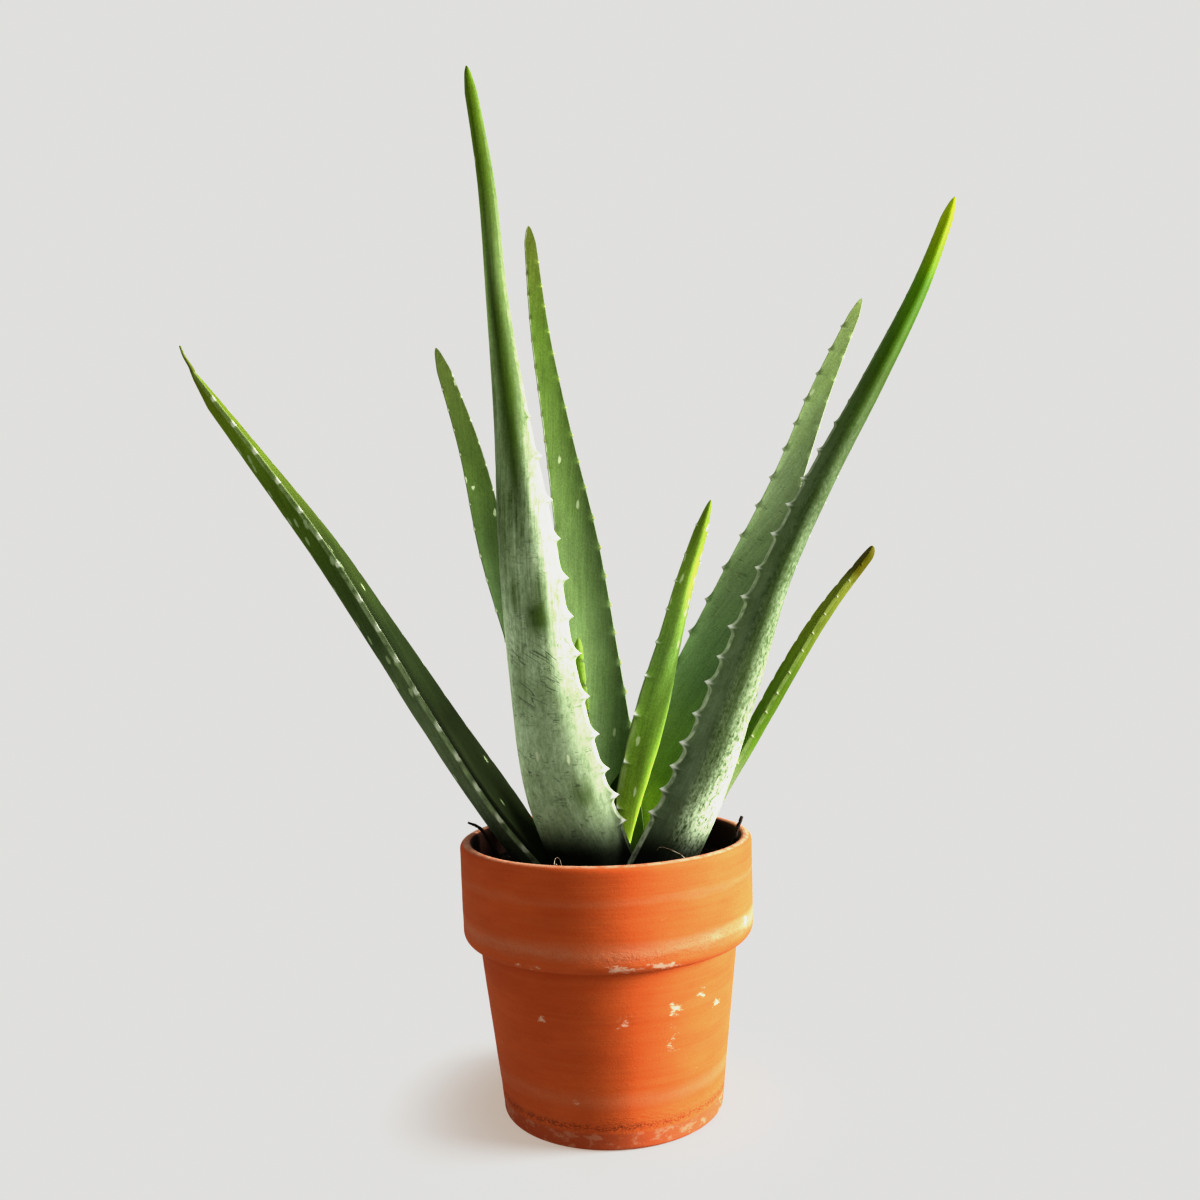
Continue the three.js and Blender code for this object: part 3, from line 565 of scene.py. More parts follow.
def leaf_finish(name, look):
    f = Finish(name + "_skin", look.get("shine", 0.06))
    skin = f.attribute("skin", "Vector")
    run = f.attribute("run")
    # Tone carries painted light and shade, and a foot at the soil that is partly damp and partly painted shade;
    # it scales the green and the wax
    tone = f.attribute("tone")
    speckled = f.attribute("speckled")

    green = f.mix(f.attribute("face"), f.run_of(run, look["inner"]), f.run_of(run, look["outer"]))
    broad = f.noise(skin, (8, 30, 1), 3.0, 0.55)
    stripe = f.noise(skin, (0.8, 26, 1), 3.0, 0.6)
    speck = f.noise(skin, (0.7, 0.95, 1), 2.0, 0.6)
    level = f.times(f.swing(broad, 0.86, 1.14), f.swing(stripe, 0.88, 1.12), f.swing(speck, 0.84, 1.16), tone)
    green = f.scaled(green, level)

    # A pale wax bloom, rubbed off in patches, in fine lines and in a fine mottle
    patch = f.noise(skin, (8, 17, 1), 4.0, 0.6, shift=(0, 0, 7))
    streak = f.noise(skin, (1.1, 24, 1), 3.0, 0.65, shift=(0, 0, 3))
    mottle = f.noise(skin, (1.5, 2.4, 1), 4.0, 0.7, shift=(0, 0, 5))
    streaked = f.swing(streak, -0.48, 0.48)
    if "smooth_below" in look:
        low = look["smooth_below"]
        streaked = f.times(streaked, f.remap(run, low - 0.08, low + 0.06, 0.25, 1.0))
    rub = f.math("ADD", f.swing(patch, -0.35, 0.35), f.times(streaked, speckled))
    much = look.get("mottle", 1.0) * 0.35
    rub = f.math("ADD", rub, f.times(f.swing(mottle, -much, much), speckled))
    bloom = f.math("MULTIPLY", f.attribute("powder"), f.math("ADD", rub, 1.0), True)
    colour = f.mix(bloom, green, f.scaled(WAX, f.times(f.swing(speck, 0.93, 1.07), tone)))

    height = f.math("ADD", f.times(stripe, 0.5), f.times(speck, 0.4))
    if "scratches" in look:
        lines = leaf_scratches(f, look, skin, run)
        colour = f.mix(f.times(lines, 0.7), colour, f.scaled(colour, 0.28))
        height = f.math("SUBTRACT", height, f.times(lines, 0.6))

    # Long pale spots
    spots = f.node("TexVoronoi", {"Vector": f.stretch(skin, (3.6, 9.5, 1)), "Scale": 1.0},
                   voronoi_dimensions="2D").node.outputs
    wobble = f.noise(skin, (0.8, 1.6, 1), 2.0)
    far = f.math("ADD", spots["Distance"], f.times(f.math("SUBTRACT", wobble, 0.5), 0.22))
    chosen = f.math("LESS_THAN", f.node("SeparateColor", {0: spots["Color"]}), f.attribute("spotted"))
    blob = f.times(f.remap(far, 0.15, 0.27, 1, 0), chosen, 0.8)
    colour = f.mix(blob, colour, look.get("spot", (0.4, 0.47, 0.28)))

    # The pale line of the margin, and the teeth
    width = look.get("line_width", 0.2)
    broken = f.noise(skin, (3, 5, 1), 3.0)
    thread = f.times(f.remap(f.attribute("inset"), width * 0.4, width * 1.4, 1, 0), f.attribute("line"),
                     f.remap(broken, 0.35, 0.6, 0.3, 1.0))
    colour = f.mix(thread, colour, look["edge"])
    colour = f.mix(f.remap(f.attribute("tooth"), 0.2, 0.7, 0.0, 0.95), colour, look["tooth"])

    if "dry" in look:
        brown = f.noise(skin, (2, 3, 1), 3.0)
        dry = f.math("ADD", f.attribute("dry"), f.times(f.math("SUBTRACT", brown, 0.5), 0.5))
        colour = f.mix(f.remap(dry, 0.15, 0.6), colour, look["dry"][1])
    rough = f.remap(bloom, 0.0, 0.7, 0.6, 0.78, "LINEAR")
    return f.done(colour, rough, f.bump(height, 0.00016, 0.55))


def pot_finish():
    f = Finish("terracotta", 0.2)
    p = f.place()
    side, _, high = f.node("SeparateXYZ", {0: p}).node.outputs
    base = f.noise(p, (34, 34, 14), 4.0, 0.6)
    colour = f.mix(f.remap(base, 0.3, 0.7), CLAY_DARK, CLAY_LIGHT)
    turned = f.noise(p, (60, 60, 2.2), 3.0, 0.6)
    colour = f.mix(f.remap(turned, 0.35, 0.7, 0.0, 0.22), colour, TURNED_CLAY)
    sand = f.noise(p, 0.55, 2.0, 0.7)
    colour = f.mix(f.remap(sand, 0.55, 0.75, 0.0, 0.4), colour, SAND)

    def ring(middle, reach, line=high):
        return f.remap(f.apart(line, middle), 0.0, reach, 1, 0)

    # Lime, the most of it low on the rim; it grows towards the right as a painted lightening of the side that
    # the light falls on
    pale = f.noise(p, 0.8, 3.0, 0.7, shift=(9, 2, 4))
    drift = f.noise(p, (26, 26, 7), 3.0, shift=(4, 4, 4))
    worn = f.math("ADD", high, f.swing(drift, -1.1, 1.1))
    band = f.times(ring(*LIME_BAND, worn), f.remap(drift, 0.3, 0.6, 0.4, 1.0), f.remap(side, 0, 62, 0.5, 1.0))
    upper = f.times(ring(*UPPER_LIME, worn), 0.18)
    lower = f.times(ring(*LOWER_LIME, worn), 0.22)
    lime = f.math("MAXIMUM", band, f.math("MAXIMUM", upper, lower))
    colour = f.mix(f.times(lime, f.remap(pale, 0.3, 0.6, 0.45, 1.0), 0.6), colour, LIME)
    # Scuffs that show the pale body of the clay
    smear = f.noise(p, (4.5, 4.5, 2.2), 5.0, 0.68, shift=(1, 2, 9))
    scuffs = f.math("ADD", f.attribute("wear"), f.swing(smear, -0.55, 0.55))
    colour = f.mix(f.remap(scuffs, 0.46, 0.85, 0.0, 0.75), colour, SCUFFED)
    lip = f.times(ring(POT_HEIGHT - 0.2, 0.8), f.remap(smear, 0.35, 0.6, 0.2, 0.7))
    colour = f.mix(lip, colour, WORN_LIP)
    # The tooled foot: a row of dark dents, and a damp red band with pale blotches
    worm = f.noise(p, (2.6, 2.6, 1.1), 3.0, 0.6, shift=(5, 5, 2))
    dents = f.times(ring(9.5, 2.6), f.remap(f.apart(worm, 0.5), 0.015, 0.06, 1, 0))
    colour = f.mix(f.times(dents, 0.7), colour, DENTED)
    ground = f.remap(high, 6.5, 8.0, 1, 0)
    blotch = f.remap(f.noise(p, (6, 6, 3.5), 4.0, 0.65), 0.5, 0.62)
    colour = f.mix(f.times(ground, 0.55), colour, DAMP_FOOT)
    colour = f.mix(f.times(ground, blotch, 0.4), colour, FOOT_BLOTCH)
    # The inner wall is made nearly black below the lip
    dark_inside = f.times(f.attribute("inside"), f.remap(high, POT_HEIGHT + 1, POT_HEIGHT - 1.5, 0.5, 0.97))
    colour = f.mix(dark_inside, colour, INSIDE_DARK)

    grit = f.noise(p, (1.1, 1.1, 0.9), 4.0, 0.7)
    coarse = f.noise(p, (2.6, 2.6, 1.0), 3.0, 0.75)
    torn = f.math("MAXIMUM", ring(RIM_TEAR, 4.5), ring(FOOT_TEAR, 4.5))
    height = f.math("ADD", f.times(grit, 0.4), f.times(coarse, torn, 1.6))
    height = f.math("ADD", height, f.math("SUBTRACT", f.times(turned, 0.5), f.times(dents, 0.6)))
    return f.done(colour, f.swing(sand, 0.72, 0.92), f.bump(height, 0.00045, 0.6))


def earth_finish(name, dark, light, size):
    f = Finish(name, 0.25)
    p = f.place()
    clod = f.noise(p, size, 5.0, 0.7)
    fleck = f.noise(p, size / 5, 3.0, 0.7)
    colour = f.mix(f.remap(clod, 0.4, 0.7), dark, light)
    colour = f.mix(f.remap(fleck, 0.62, 0.72, 0.0, 0.5), colour, (0.12, 0.07, 0.04))
    height = f.math("ADD", clod, f.times(fleck, 0.4))
    return f.done(colour, f.swing(fleck, 0.75, 0.98), f.bump(height, 0.0008, 0.8))


# Leaves

def leaf_teeth(leaf, length):
    """The same teeth as in the solids: side, place along the leaf and height."""
    teeth = []
    for side in (-1, 1):
        s = leaf["first"] + TOOTH_STAGGER * side
        i = 0
        while s < LAST_TOOTH:
            size = float(along(leaf["tooth"], s)) * uneven(draw(leaf["seed"] + side, i))
            teeth.append((side, s, size))
            s += float(along(leaf["pitch"], s)) * uneven(draw(leaf["seed"] - side, i + 50)) / length
            i += 1
    return teeth


def leaf_stations(length, teeth):
    """Where the leaf's rings stand: evenly, and closer at its tip and its teeth."""
    start = 1 - TIP_LENGTH / length
    stations = [np.arange(0, start, STATION_STEP / length), 1 - (1 - start) * np.linspace(1, 0, 14) ** 1.5]
    for _, s, size in teeth:
        stations.append(s + (np.array(TOOTH_STATIONS) - TOOTH_DROOP) * size / length)
    places = np.concatenate(stations) * length
    return np.unique(np.clip(np.unique(np.round(places / 0.07) * 0.07) / length, 0, 1))


def tooth_rise(s, side, teeth, length):
    """How far the margin stands out at each station, in millimetres, and as a share of its tooth."""
    rise = share = np.zeros(len(s))
    for its_side, place, size in teeth:
        if its_side != side:
            continue
        d = (s - place) * length + TOOTH_DROOP * size
        front = np.clip(1 - d / (TOOTH_RAMP * size), 0, 1) ** 2.8
        back = np.clip(1 + d / (TOOTH_RETURN * size), 0, 1) ** 2.5
        part = np.where(d >= 0, front, back)
        share = np.where(part * size > rise, part, share)
        rise = np.maximum(rise, part * size)
    return rise, share


def build_leaf(name, leaf):
    look = LOOKS[name]
    fine = along(leaf["spine"], np.linspace(0, 1, 2001))
    length = float(np.linalg.norm(np.diff(fine, axis=0), axis=1).sum())
    teeth = leaf_teeth(leaf, length)
    s = leaf_stations(length, teeth)
    centre = along(leaf["spine"], s)
    tip = unit(along(leaf["spine"], np.minimum(s + 1e-4, 1)) - along(leaf["spine"], np.maximum(s - 1e-4, 0)))
    out = ring_points(1, np.radians(along(leaf["facing"], s)), 0)
    out = unit(out - (out * tip).sum(1)[:, None] * tip)
    across = np.cross(out, tip)

    start = 1 - look.get("tip", TIP_LENGTH) / length
    rest = np.clip((s - start) / (1 - start), 0, 1)
    taper = np.maximum(np.sqrt(1 - rest ** (1 if "tip" in look else 2)), TIP_SHARE)
    half = (along(leaf["width"], s) * taper / 2)[:, None]
    thick = (along(leaf["thickness"], s) * taper)[:, None]
    cup = along(leaf["cup"], s)[:, None]
    edge = np.minimum(MARGIN, half) / 2

    back, inner = np.radians(BACK_ANGLES), np.radians(INNER_ANGLES)
    angle = np.concatenate([back, [math.pi], inner, [0]])
    kind = np.concatenate([np.full(len(back), 1.0), [0.5], np.zeros(len(inner)), [0.5]])
    share = np.cos(angle)[None, :]
    bulge = np.maximum(np.sin(angle), 0)[None, :]
    from_edge = (1 - np.abs(share)) * half
    thin = 1 - 0.5 * np.exp(-from_edge / THIN_WIDTH)
    height = np.where(
        kind == 1, edge + (thick + cup) * bulge**BACK_ROUND * thin,
        np.where(kind == 0, -edge + cup * bulge**2, 0.0),
    )
    reach = share * half + np.sign(share) * np.where(kind == 0.5, 0.22 * np.minimum(edge / 0.6, 1), 0.0)
    wide, tall = (np.abs(np.diff(way, axis=1, prepend=way[:, :1])) for way in (reach, height))
    side_arc = np.cumsum(wide + 0.6 * tall, axis=1)

    weight = np.exp(-from_edge / TOOTH_WIDTH)
    horn = np.zeros_like(reach)
    for side in (-1, 1):
        rise, part = tooth_rise(s, side, teeth, length)
        on_side = np.sign(share) == side
        scale, lean = look["horns"][side]
        fade = 1 - 0.9 * smooth(*look.get("toothless", NOWHERE), s)
        rise, part = rise * fade, part * fade
        shift = scale * rise[:, None] * weight * on_side
        pull = weight * (part[:, None] ** 0.6) * on_side * min(1, 1.4 * scale)
        reach = reach + side * shift * math.cos(math.radians(lean))
        height = height + (TOOTH_LIFT - height) * np.clip(pull, 0, 0.96) - shift * math.sin(math.radians(lean))
        long, slim, power = look.get("dashes", (1, TOOTH_WIDTH, 1.5))
        pale = part if long == 1 else tooth_rise(s, side, [(a, b, c * long) for a, b, c in teeth], length)[1]
        horn = np.maximum(horn, np.exp(-from_edge / slim) * pale[:, None] ** power * on_side)

    # The skin isn't perfectly even
    seed = leaf["seed"] % 50
    up = np.broadcast_to((s * length)[:, None], side_arc.shape)
    skin = np.stack([side_arc + 60 * (kind == 0) + 13.7 * seed, up, np.full_like(side_arc, seed * 3.7)], -1)
    soft = 0.16 * grain(skin, 16, seed) + 0.07 * grain(skin, 5, seed + 1)
    ridge = 0.045 * grain(skin * (1, 0.05, 1), 1.6, seed + 2)
    inwards = smooth(0.5, 3.0, from_edge) * np.minimum(thick / 4, 1)
    height = height + np.where(kind == 1, 1, -1) * (soft + ridge) * inwards

    points = centre[:, None] + across[:, None] * reach[..., None] + out[:, None] * height[..., None]
    run = s[:, None]

    def on_faces(key):
        back_run, inner_run = (ramp(values, s)[:, None] for values in look.get(key, ([0, 0], [0, 0])))
        return back_run * kind + inner_run * (1 - kind)

    def in_patches(key):
        rows = [(at, side, long / length, wide, much) for at, side, long, wide, much in look.get(key, [])]
        return soft_patches(rows, run, share)

    powder = np.clip(on_faces("powder") + in_patches("patches") * kind, 0, 1)
    # Tone is painted light and shade: the shades lighten or darken the skin where light or shade falls, and the
    # foot darkens at the soil, partly damp and partly painted shade of the rim and the leaves beside it
    soil_damp_and_shade = look.get("damp_and_shade", 1)
    tone = np.maximum(1 + in_patches("painted_shading"), 0.3) * (soil_damp_and_shade + (1 - soil_damp_and_shade) * smooth(114, 131, points[..., 2]))
    still = look.get("calm", NOWHERE)
    speckled = 1 - 0.85 * smooth(*still, share) - 0.6 * smooth(*still, -share)
    line = np.where(share > 0, ramp(look["lines"][0], s)[:, None], ramp(look["lines"][1], s)[:, None])
    values = {
        "run": run, "face": kind, "inset": np.minimum(from_edge, 5), "line": line, "tooth": horn,
        "powder": powder, "tone": tone, "spotted": on_faces("spots"), "marks": on_faces("scratches"),
        "speckled": speckled, "dry": smooth(look["dry"][0], 1, run) if "dry" in look else 0,
    }
    values = {key: np.broadcast_to(held, reach.shape).ravel() for key, held in values.items()}
    values["skin"] = skin.reshape(-1, 3)
    # Close both ends on a middle point
    rings, size = reach.shape
    flat = np.concatenate([points.reshape(-1, 3), [centre[0], centre[-1] + tip[-1] * 0.25]])
    ends = [0, (rings - 1) * size]
    values = {key: np.concatenate([held, held[ends]]) for key, held in values.items()}
    faces = closed_faces(rings, size)
    if "dried" in leaf:
        flat, faces, values = add_dried_tip(flat, faces, values, leaf["dried"])
    piece = make_mesh(name + "_blade", flat, faces, leaf_finish(name, look), values)
    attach(piece, "root")
    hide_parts(name)


def tube(path, radii, sides, steps, wobble, seed):
    """Points and faces of a thinning strand along a path, closed at both ends."""
    t = np.linspace(0, 1, steps)
    centre = along(path, t)
    centre = centre + wobble * np.stack([grain(centre, 6, seed + k) for k in range(3)], -1)
    radius = along(radii, t)
    tip = unit(np.gradient(centre, axis=0))
    side = unit(np.cross(tip, [0.31, 0.87, 0.38]))
    other = np.cross(tip, side)
    angle = turns(sides)[:, None]
    ring = side[:, None] * np.cos(angle) + other[:, None] * np.sin(angle)
    points = (centre[:, None] + ring * radius[:, None, None]).reshape(-1, 3)
    faces = ring_faces(steps, sides)
    faces.append(tuple(range(sides))[::-1])
    last = (steps - 1) * sides
    faces.append(tuple(last + k for k in range(sides)))
    return points, faces


def add_dried_tip(flat, faces, values, path):
    points, more = tube(path, [0.95, 0.6, 0.35], 10, 16, 0.25, 4.0)
    offset = len(flat)
    faces = faces + [tuple(k + offset for k in face) for face in more]
    flat = np.concatenate([flat, points])
    count = len(points)
    extra = {key: np.zeros(count) for key in values}
    extra.update(skin=points, run=np.ones(count), face=np.ones(count), inset=np.full(count, 5.0),
                 tone=np.ones(count), dry=np.ones(count))
    return flat, faces, {key: np.concatenate([held, extra[key]]) for key, held in values.items()}


# Pot

def arc(r, z, radius, start, end, steps):
    angle = np.radians(np.linspace(start, end, steps))
    return [(r + radius * math.cos(a), z + radius * math.sin(a)) for a in angle]


def pot_profile():
    """Radius and height round the pot's wall: up its outside, and down its inside."""
    keys = [
        (DRAIN_RADIUS, 0), *arc(BASE_RADIUS - BASE_ROUND, BASE_ROUND, BASE_ROUND, -90, 0, 6),
        (NECK_RADIUS, BAND_FLOOR),
        *arc(RIM_UNDER_RADIUS - BAND_ROUND, BAND_FLOOR + BAND_ROUND, BAND_ROUND, -80, 0, 12),
        *arc(RIM_RADIUS - LIP_ROUND, POT_HEIGHT - LIP_ROUND, LIP_ROUND, 0, 90, 8),
        *arc(INNER_LIP + LIP_ROUND, POT_HEIGHT - LIP_ROUND, LIP_ROUND, 90, 170, 7),
        (INNER_LIP, POT_HEIGHT - LIP_ROUND - 1), *INNER_WALL, (DRAIN_RADIUS, FLOOR), (DRAIN_RADIUS, 0),
    ]
    profile = []
    for (r0, z0), (r1, z1) in zip(keys, keys[1:]):
        outside = min(r0, r1) > 47 or z0 > POT_HEIGHT - 12
        steps = max(1, round(math.hypot(r1 - r0, z1 - z0) / (1.3 if outside else 5)))
        profile += [(r0 + (r1 - r0) * k / steps, z0 + (z1 - z0) * k / steps) for k in range(steps)]
    return np.array(profile)


# Where the pot is scuffed: degrees round from the front, height, reach both ways and amount
SCUFFS = [
    (4, 76.5, 9, 2.6, 0.8), (20, 77, 7, 2.2, 0.75), (-31, 76.5, 7, 1.8, 0.7), (64, 84, 3, 3, 0.8),
    (5, 53, 3.5, 2.5, 0.75), (29, 56, 4, 3, 0.8), (42, 60, 3, 2.5, 0.7), (54, 52, 4, 2.5, 0.7),
    (27, 43, 3, 8, 0.5), (-31, 53, 3, 2, 0.6), (-17, 20, 3, 2, 0.6), (120, 60, 8, 5, 0.6),
    (-140, 78, 12, 3, 0.8), (170, 40, 8, 8, 0.6), (-95, 50, 6, 5, 0.6),
]


def build_pot():
    profile = pot_profile()
    rows, count = len(profile), 300
    angle = turns(count)
    r, z = profile[:, :1], profile[:, 1:]
    at = ring_points(r, angle, z)
    outer = smooth(46, 48, r) * smooth(0.6, 3, z)
    torn = np.exp(-(((z - RIM_TEAR) / 4.0) ** 2)) + np.exp(-(((z - FOOT_TEAR) / 3.6) ** 2))
    torn = torn * (0.35 + 0.65 * smooth(-0.3, 0.4, grain(at, 14, 3)))
    push = -0.2 * torn * (0.5 + 0.5 * grain(at * (1, 1, 1.6), 1.9, 5)) + 0.05 * grain(at * (0.2, 0.2, 1), 2.4, 8)
    push = push + 0.1 * grain(at, 22, 2) - 0.06 * np.exp(-(((z - GROOVE) / 1.2) ** 2))
    r = r + push * outer - 0.1 * outer
    lift = 0.18 * grain(at * (1, 1, 0), 30, 6) * smooth(100, 116, z)
    points = ring_points(r, angle, z + lift - 0.18 * smooth(100, 116, z)).reshape(-1, 3)
    faces = (np.array(ring_faces(rows + 1, count)) % len(points)).tolist()
    edge_at = np.hypot(profile[:, 0] - INNER_LIP - LIP_ROUND / 2, profile[:, 1] - POT_HEIGHT)
    inner_row = np.arange(rows) > np.argmin(edge_at)
    inside = np.repeat(inner_row.astype(float), count)
    around = np.degrees(np.arctan2(points[:, 0], -points[:, 1]))
    wear = soft_patches(SCUFFS, around, points[:, 2]) * (1 - inside)
    piece = make_mesh("terracotta_pot", points, faces, pot_finish(), {"inside": inside, "wear": wear})
    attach(piece, "root")
    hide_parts("pot")


# Soil

def lump(x, y):
    return 1.1 * np.sin(x * 0.21 + 1.3) * np.cos(y * 0.19) + 0.7 * np.sin(x * 0.47 - y * 0.39 + 0.6)


def soil_height(x, y):
    share = np.hypot(x, y) / (INNER_LIP - GAP)
    at = np.stack([x, y, 0 * x], -1)
    rough = 0.8 * grain(at, 7, 1) + 0.5 * grain(at, 2.6, 2) + 0.25 * grain(at, 1.1, 3)
    return SOIL_HEIGHT + SOIL_CROWN * (1 - share**2) + lump(x, y) + rough * (1 - share**8)


def surface(x, y):
    return float(soil_height(np.array(x), np.array(y)))


def build_soil():
    rings, count = 64, 220
    tapered = LIP_TAPER * (SOIL_HEIGHT - BAND_FLOOR - TAPER_RISE) / (RIM_BAND - TAPER_RISE)
    reach = INNER_LIP - LIP_TAPER + tapered - GAP
    share = np.linspace(0.02, 1, rings)[:, None]
    angle = turns(count)
    x, y = reach * share * np.cos(angle), reach * share * np.sin(angle)
    top = np.stack([x, y, soil_height(x, y)], -1)
    wall = [(r - GAP, max(z, FLOOR + GAP)) for r, z in INNER_WALL] + [(1, FLOOR + GAP)]
    skirt = [ring_points(r, angle, z) for r, z in wall]
    middles = [[0, 0, surface(0.0, 0.0)], [0, 0, FLOOR + GAP]]
    points = np.concatenate([top.reshape(-1, 3), *skirt, middles])
    faces = [tuple(reversed(f)) for f in closed_faces(rings + len(wall), count)]
    finish = earth_finish("soil_mix", (0.006, 0.004, 0.003), (0.03, 0.018, 0.011), 3.0)
    piece = make_mesh("potting_soil", points, faces, finish)
    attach(piece, "root")
    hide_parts("soil")


def build_crumbs():
    """Crumbs and bark chips lying on the soil, as one piece."""
    points, faces = [], []
    ends = [[1, 0, 0], [-1, 0, 0], [0, 1, 0], [0, -1, 0], [0, 0, 1], [0, 0, -1]]
    corner = np.array(ends + [[x, y, z] for z in (.6, -.6) for y in (.6, -.6) for x in (.6, -.6)])
    hull = [(4, 8, 0, 6), (4, 6, 2, 7), (4, 7, 1, 9), (4, 9, 3, 8), (5, 10, 0, 12), (5, 11, 2, 10),
            (5, 13, 1, 11), (5, 12, 3, 13), (0, 10, 2, 6), (2, 11, 1, 7), (1, 13, 3, 9), (3, 12, 0, 8)]
    for i in range(CRUMBS):
        x, y = polar(draw(21, i), (INNER_LIP - 3.5) * math.sqrt(draw(22, i)))
        size = 0.5 + 1.5 * draw(23, i) ** 2
        chip = draw(24, i) > 0.82
        shape = np.array([size * (2.4 if chip else 1.1), size * 0.9, size * (0.5 if chip else 0.8)])
        cos, sin = polar(draw(25, i), 1)
        tilt = 0.6 * (draw(26, i) - 0.5)
        spot = corner * shape * (0.8 + 0.4 * np.array([draw(27 + i, k) for k in range(len(corner))]))[:, None]
        spot = spot @ np.array([[cos, sin, 0], [-sin, cos, 0], [0, 0, 1]])
        spot[:, 2] += spot[:, 0] * tilt
        offset = len(corner) * i
        points.append(spot + (x, y, surface(x, y) + 0.25 * size))
        faces += [tuple(k + offset for k in face) for face in hull]
    finish = earth_finish("soil_bits", (0.008, 0.005, 0.004), (0.05, 0.028, 0.016), 2.2)
    piece = make_mesh("soil_crumbs", np.concatenate(points), faces, finish, smooth_shade=False)
    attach(piece, "root")


def build_fibres():
    """Fine pale root hairs and dark fibres standing on the soil."""
    points, faces, offset = [], [], 0

    def add(path, radius, wobble, seed):
        nonlocal offset
        more, quads = tube(path, [radius, radius * 0.9, radius * 0.5], 5, 14, wobble, seed)
        points.append(more)
        faces.extend(tuple(k + offset for k in face) for face in quads)
        offset += len(more)

    add([[19, -31, 104.5], [21, -34.5, 114.5], [22.5, -36, 117.9], [26.9, -44, 118.2], [31.6, -50, 116.6],
         [34, -51.5, 110], [35, -51, 104]], 0.22, 0.35, 1)
    add([[-20.5, -51.5, 103.5], [-21, -52.3, 112], [-20.8, -51, 117.2], [-19.4, -49.5, 118.1],
         [-18.2, -50, 116.2], [-17.6, -50.5, 110], [-17, -50, 104]], 0.15, 0.4, 2)
    add([[-25, -50, 104], [-23.5, -51, 112.5], [-20.2, -52, 116.3], [-18.8, -51, 112],
         [-18.4, -50, 105]], 0.14, 0.4, 3)
    for i in range(FIBRES):
        x, y = polar(draw(41, i), 30 + (INNER_LIP - 34) * draw(42, i))
        z = surface(x, y)
        dx, dy = polar(draw(43, i), 0.5 * (4 + 8 * draw(44, i)))
        lift = 0.4 + 2.2 * draw(45, i)
        start = np.array([x - dx, y - dy, z])
        end = np.array([x + dx, y + dy, z + 0.3])
        for at in (start, end):
            over = math.hypot(*at[:2]) / (INNER_LIP - LIP_TAPER)
            if over > 1:
                at[:2] /= over
        add([start, [x, y, z + lift], end], 0.12 + 0.12 * draw(46, i), 0.8, 5 + i)
    f = Finish("root_fibre", 0.3)
    tone = f.noise(f.place(), 5, 3.0)
    colour = f.mix(f.remap(tone, 0.4, 0.65), (0.16, 0.11, 0.07), (0.5, 0.44, 0.33))
    piece = make_mesh("root_fibres", np.concatenate(points), faces, f.done(colour, 0.8))
    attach(piece, "root")


def build_twig(node, path, radii, seed):
    sides, steps = 12, 40
    points, faces = tube(path, radii, sides, steps, 0.35, seed)
    axis = along(path, np.repeat(np.linspace(0, 1, steps), sides))
    away = points - axis
    points = axis + away * (1 + 0.3 * grain(points, 1.1, seed) + 0.2 * grain(points, 0.5, seed + 3))[:, None]
    finish = earth_finish(node + "_bark", (0.01, 0.006, 0.004), (0.05, 0.03, 0.02), 1.6)
    piece = make_mesh(node + "_bark", points, faces, finish)
    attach(piece, "root")
    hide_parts(node)


# Stage, light and camera

def matrix_of(x, y, z, at=(0, 0, 0)):
    """The matrix of an object with these axes, at this place."""
    return Matrix([*np.stack([x, y, z, at], -1).tolist(), [0, 0, 0, 1]])


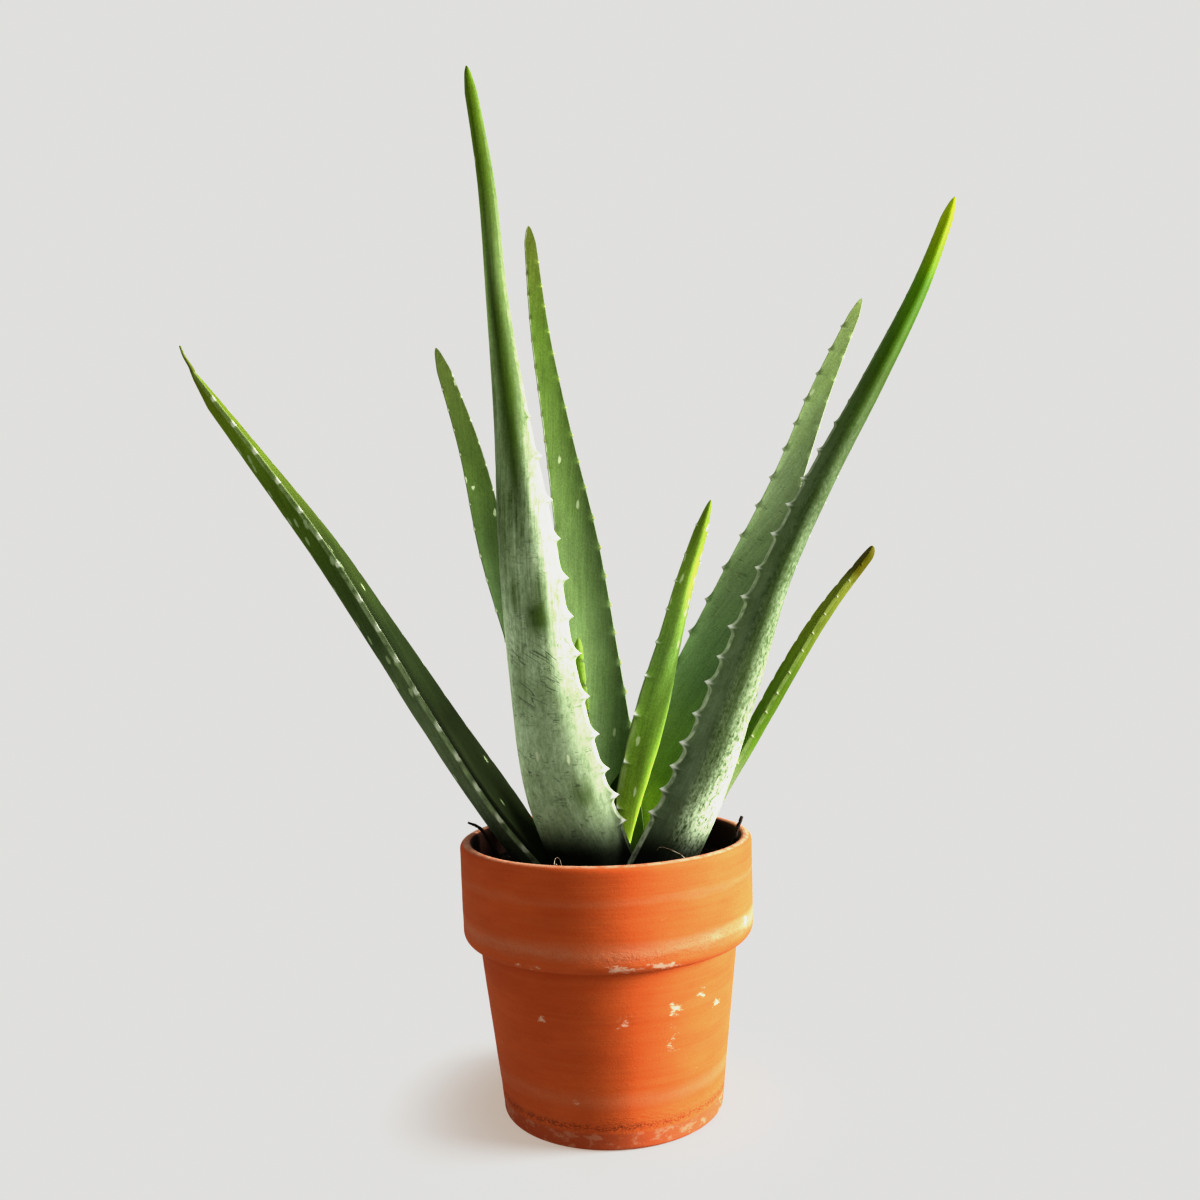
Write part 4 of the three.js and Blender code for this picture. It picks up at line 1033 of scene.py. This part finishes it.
def build_stage():
    # The paper gives most of its light itself, so that only the pot's near shadow shows
    f = Finish("floor_paper", 0.0)
    p = f.place()
    far = f.node("VectorMath", {0: p}, 1, operation="LENGTH")
    near = f.remap(far, *FLOOR_FADE, 1, 0)
    tone = f.noise(p, 90)
    colour = f.scaled(FLOOR_COLOUR, f.times(near, f.remap(tone, 0.3, 0.7, 0.98, 1.02)))
    given = tuple(-a * b for a, b in zip(FLOOR_COLOUR, FLOOR_LIGHT))
    own = f.node("VectorMath", {0: f.scaled(given, near), 1: BACKDROP[:3]}, operation="ADD")
    f.feed(f.shader.inputs["Emission Color"], own)
    f.feed(f.shader.inputs["Emission Strength"], 1.0)
    points = ring_points(FLOOR_REACH, turns(48), -0.02)
    floor = make_mesh("floor", points, [tuple(range(len(points)))], f.done(colour, 0.95))

    # A pale backdrop, and a darker room behind the camera
    world = bpy.data.worlds.new("studio")
    world.use_nodes = True
    tree = Tree(world.node_tree)
    ahead = tree.node("SeparateXYZ", {0: tree.node("TexCoord", {}, "Generated")}, "Y")
    colour = tree.mix(tree.remap(ahead, ROOM_FROM, ROOM_TO), ROOM_FRONT, BACKDROP)
    tree.feed(tree.nodes["Background"].inputs["Color"], colour)
    bpy.context.scene.world = world

    lamp = bpy.data.lights.new("window", "SUN")
    lamp.energy = KEY_POWER
    lamp.angle = math.radians(KEY_WIDTH)
    lamp.color = KEY_COLOUR
    side, high = math.radians(KEY_SIDE), math.radians(KEY_HEIGHT)
    z = np.array([math.sin(side) * math.cos(high), -math.cos(side) * math.cos(high), math.sin(high)])
    x = unit(np.cross((0, 0, 1), z))
    add_object("window", lamp).matrix_world = matrix_of(x, np.cross(z, x), z)


def build_camera():
    camera = bpy.data.cameras.new("camera")
    camera.sensor_width = SENSOR
    camera.lens = LENS
    camera.clip_start = 0.01
    pitch, roll = math.radians(PITCH), math.radians(ROLL)
    forward = np.array([0, math.cos(pitch), math.sin(pitch)])
    up = np.array([0, -math.sin(pitch), math.cos(pitch)])
    right = np.array([1.0, 0, 0])
    x = right * math.cos(roll) - up * math.sin(roll)
    y = right * math.sin(roll) + up * math.cos(roll)
    seen = add_object("camera", camera)
    seen.matrix_world = matrix_of(x, y, -forward, CAMERA_AT)
    bpy.context.scene.camera = seen


def finish_hidden_nodes():
    """The stem and its roots are inside the soil, and keep their solid."""
    node = bpy.data.objects["stem_and_roots"]
    finish = earth_finish("root_bark", (0.25, 0.16, 0.09), (0.5, 0.38, 0.25), 4.0)
    for slot in node.material_slots:
        slot.material = finish


build_camera()
build_stage()
for leaf_name, leaf_data in LEAVES.items():
    build_leaf(leaf_name, leaf_data)
build_pot()
build_soil()
build_crumbs()
build_fibres()
build_twig("twig_right", [[51, -12, 99], [54.5, -11, 109], [57, -10, 116], [60.5, -9, 124.5]],
           [1.1, 1, 0.9, 0.6], 3)
build_twig("twig_left", [[-45, 5, 99], [-52, 8, 111], [-57.5, 11, 118.8], [-63.5, 12, 121.8]],
           [0.9, 0.8, 0.7, 0.5], 7)
finish_hidden_nodes()

view = bpy.context.scene.view_settings
view.view_transform = "Standard"
view.look = "High Contrast"
view.use_curve_mapping = True
shoulder = view.curve_mapping.curves[3]
for x, y in SHOULDER[:-1]:
    shoulder.points.new(x, y)
shoulder.points[len(shoulder.points) - 1].location = SHOULDER[-1]
view.curve_mapping.update()
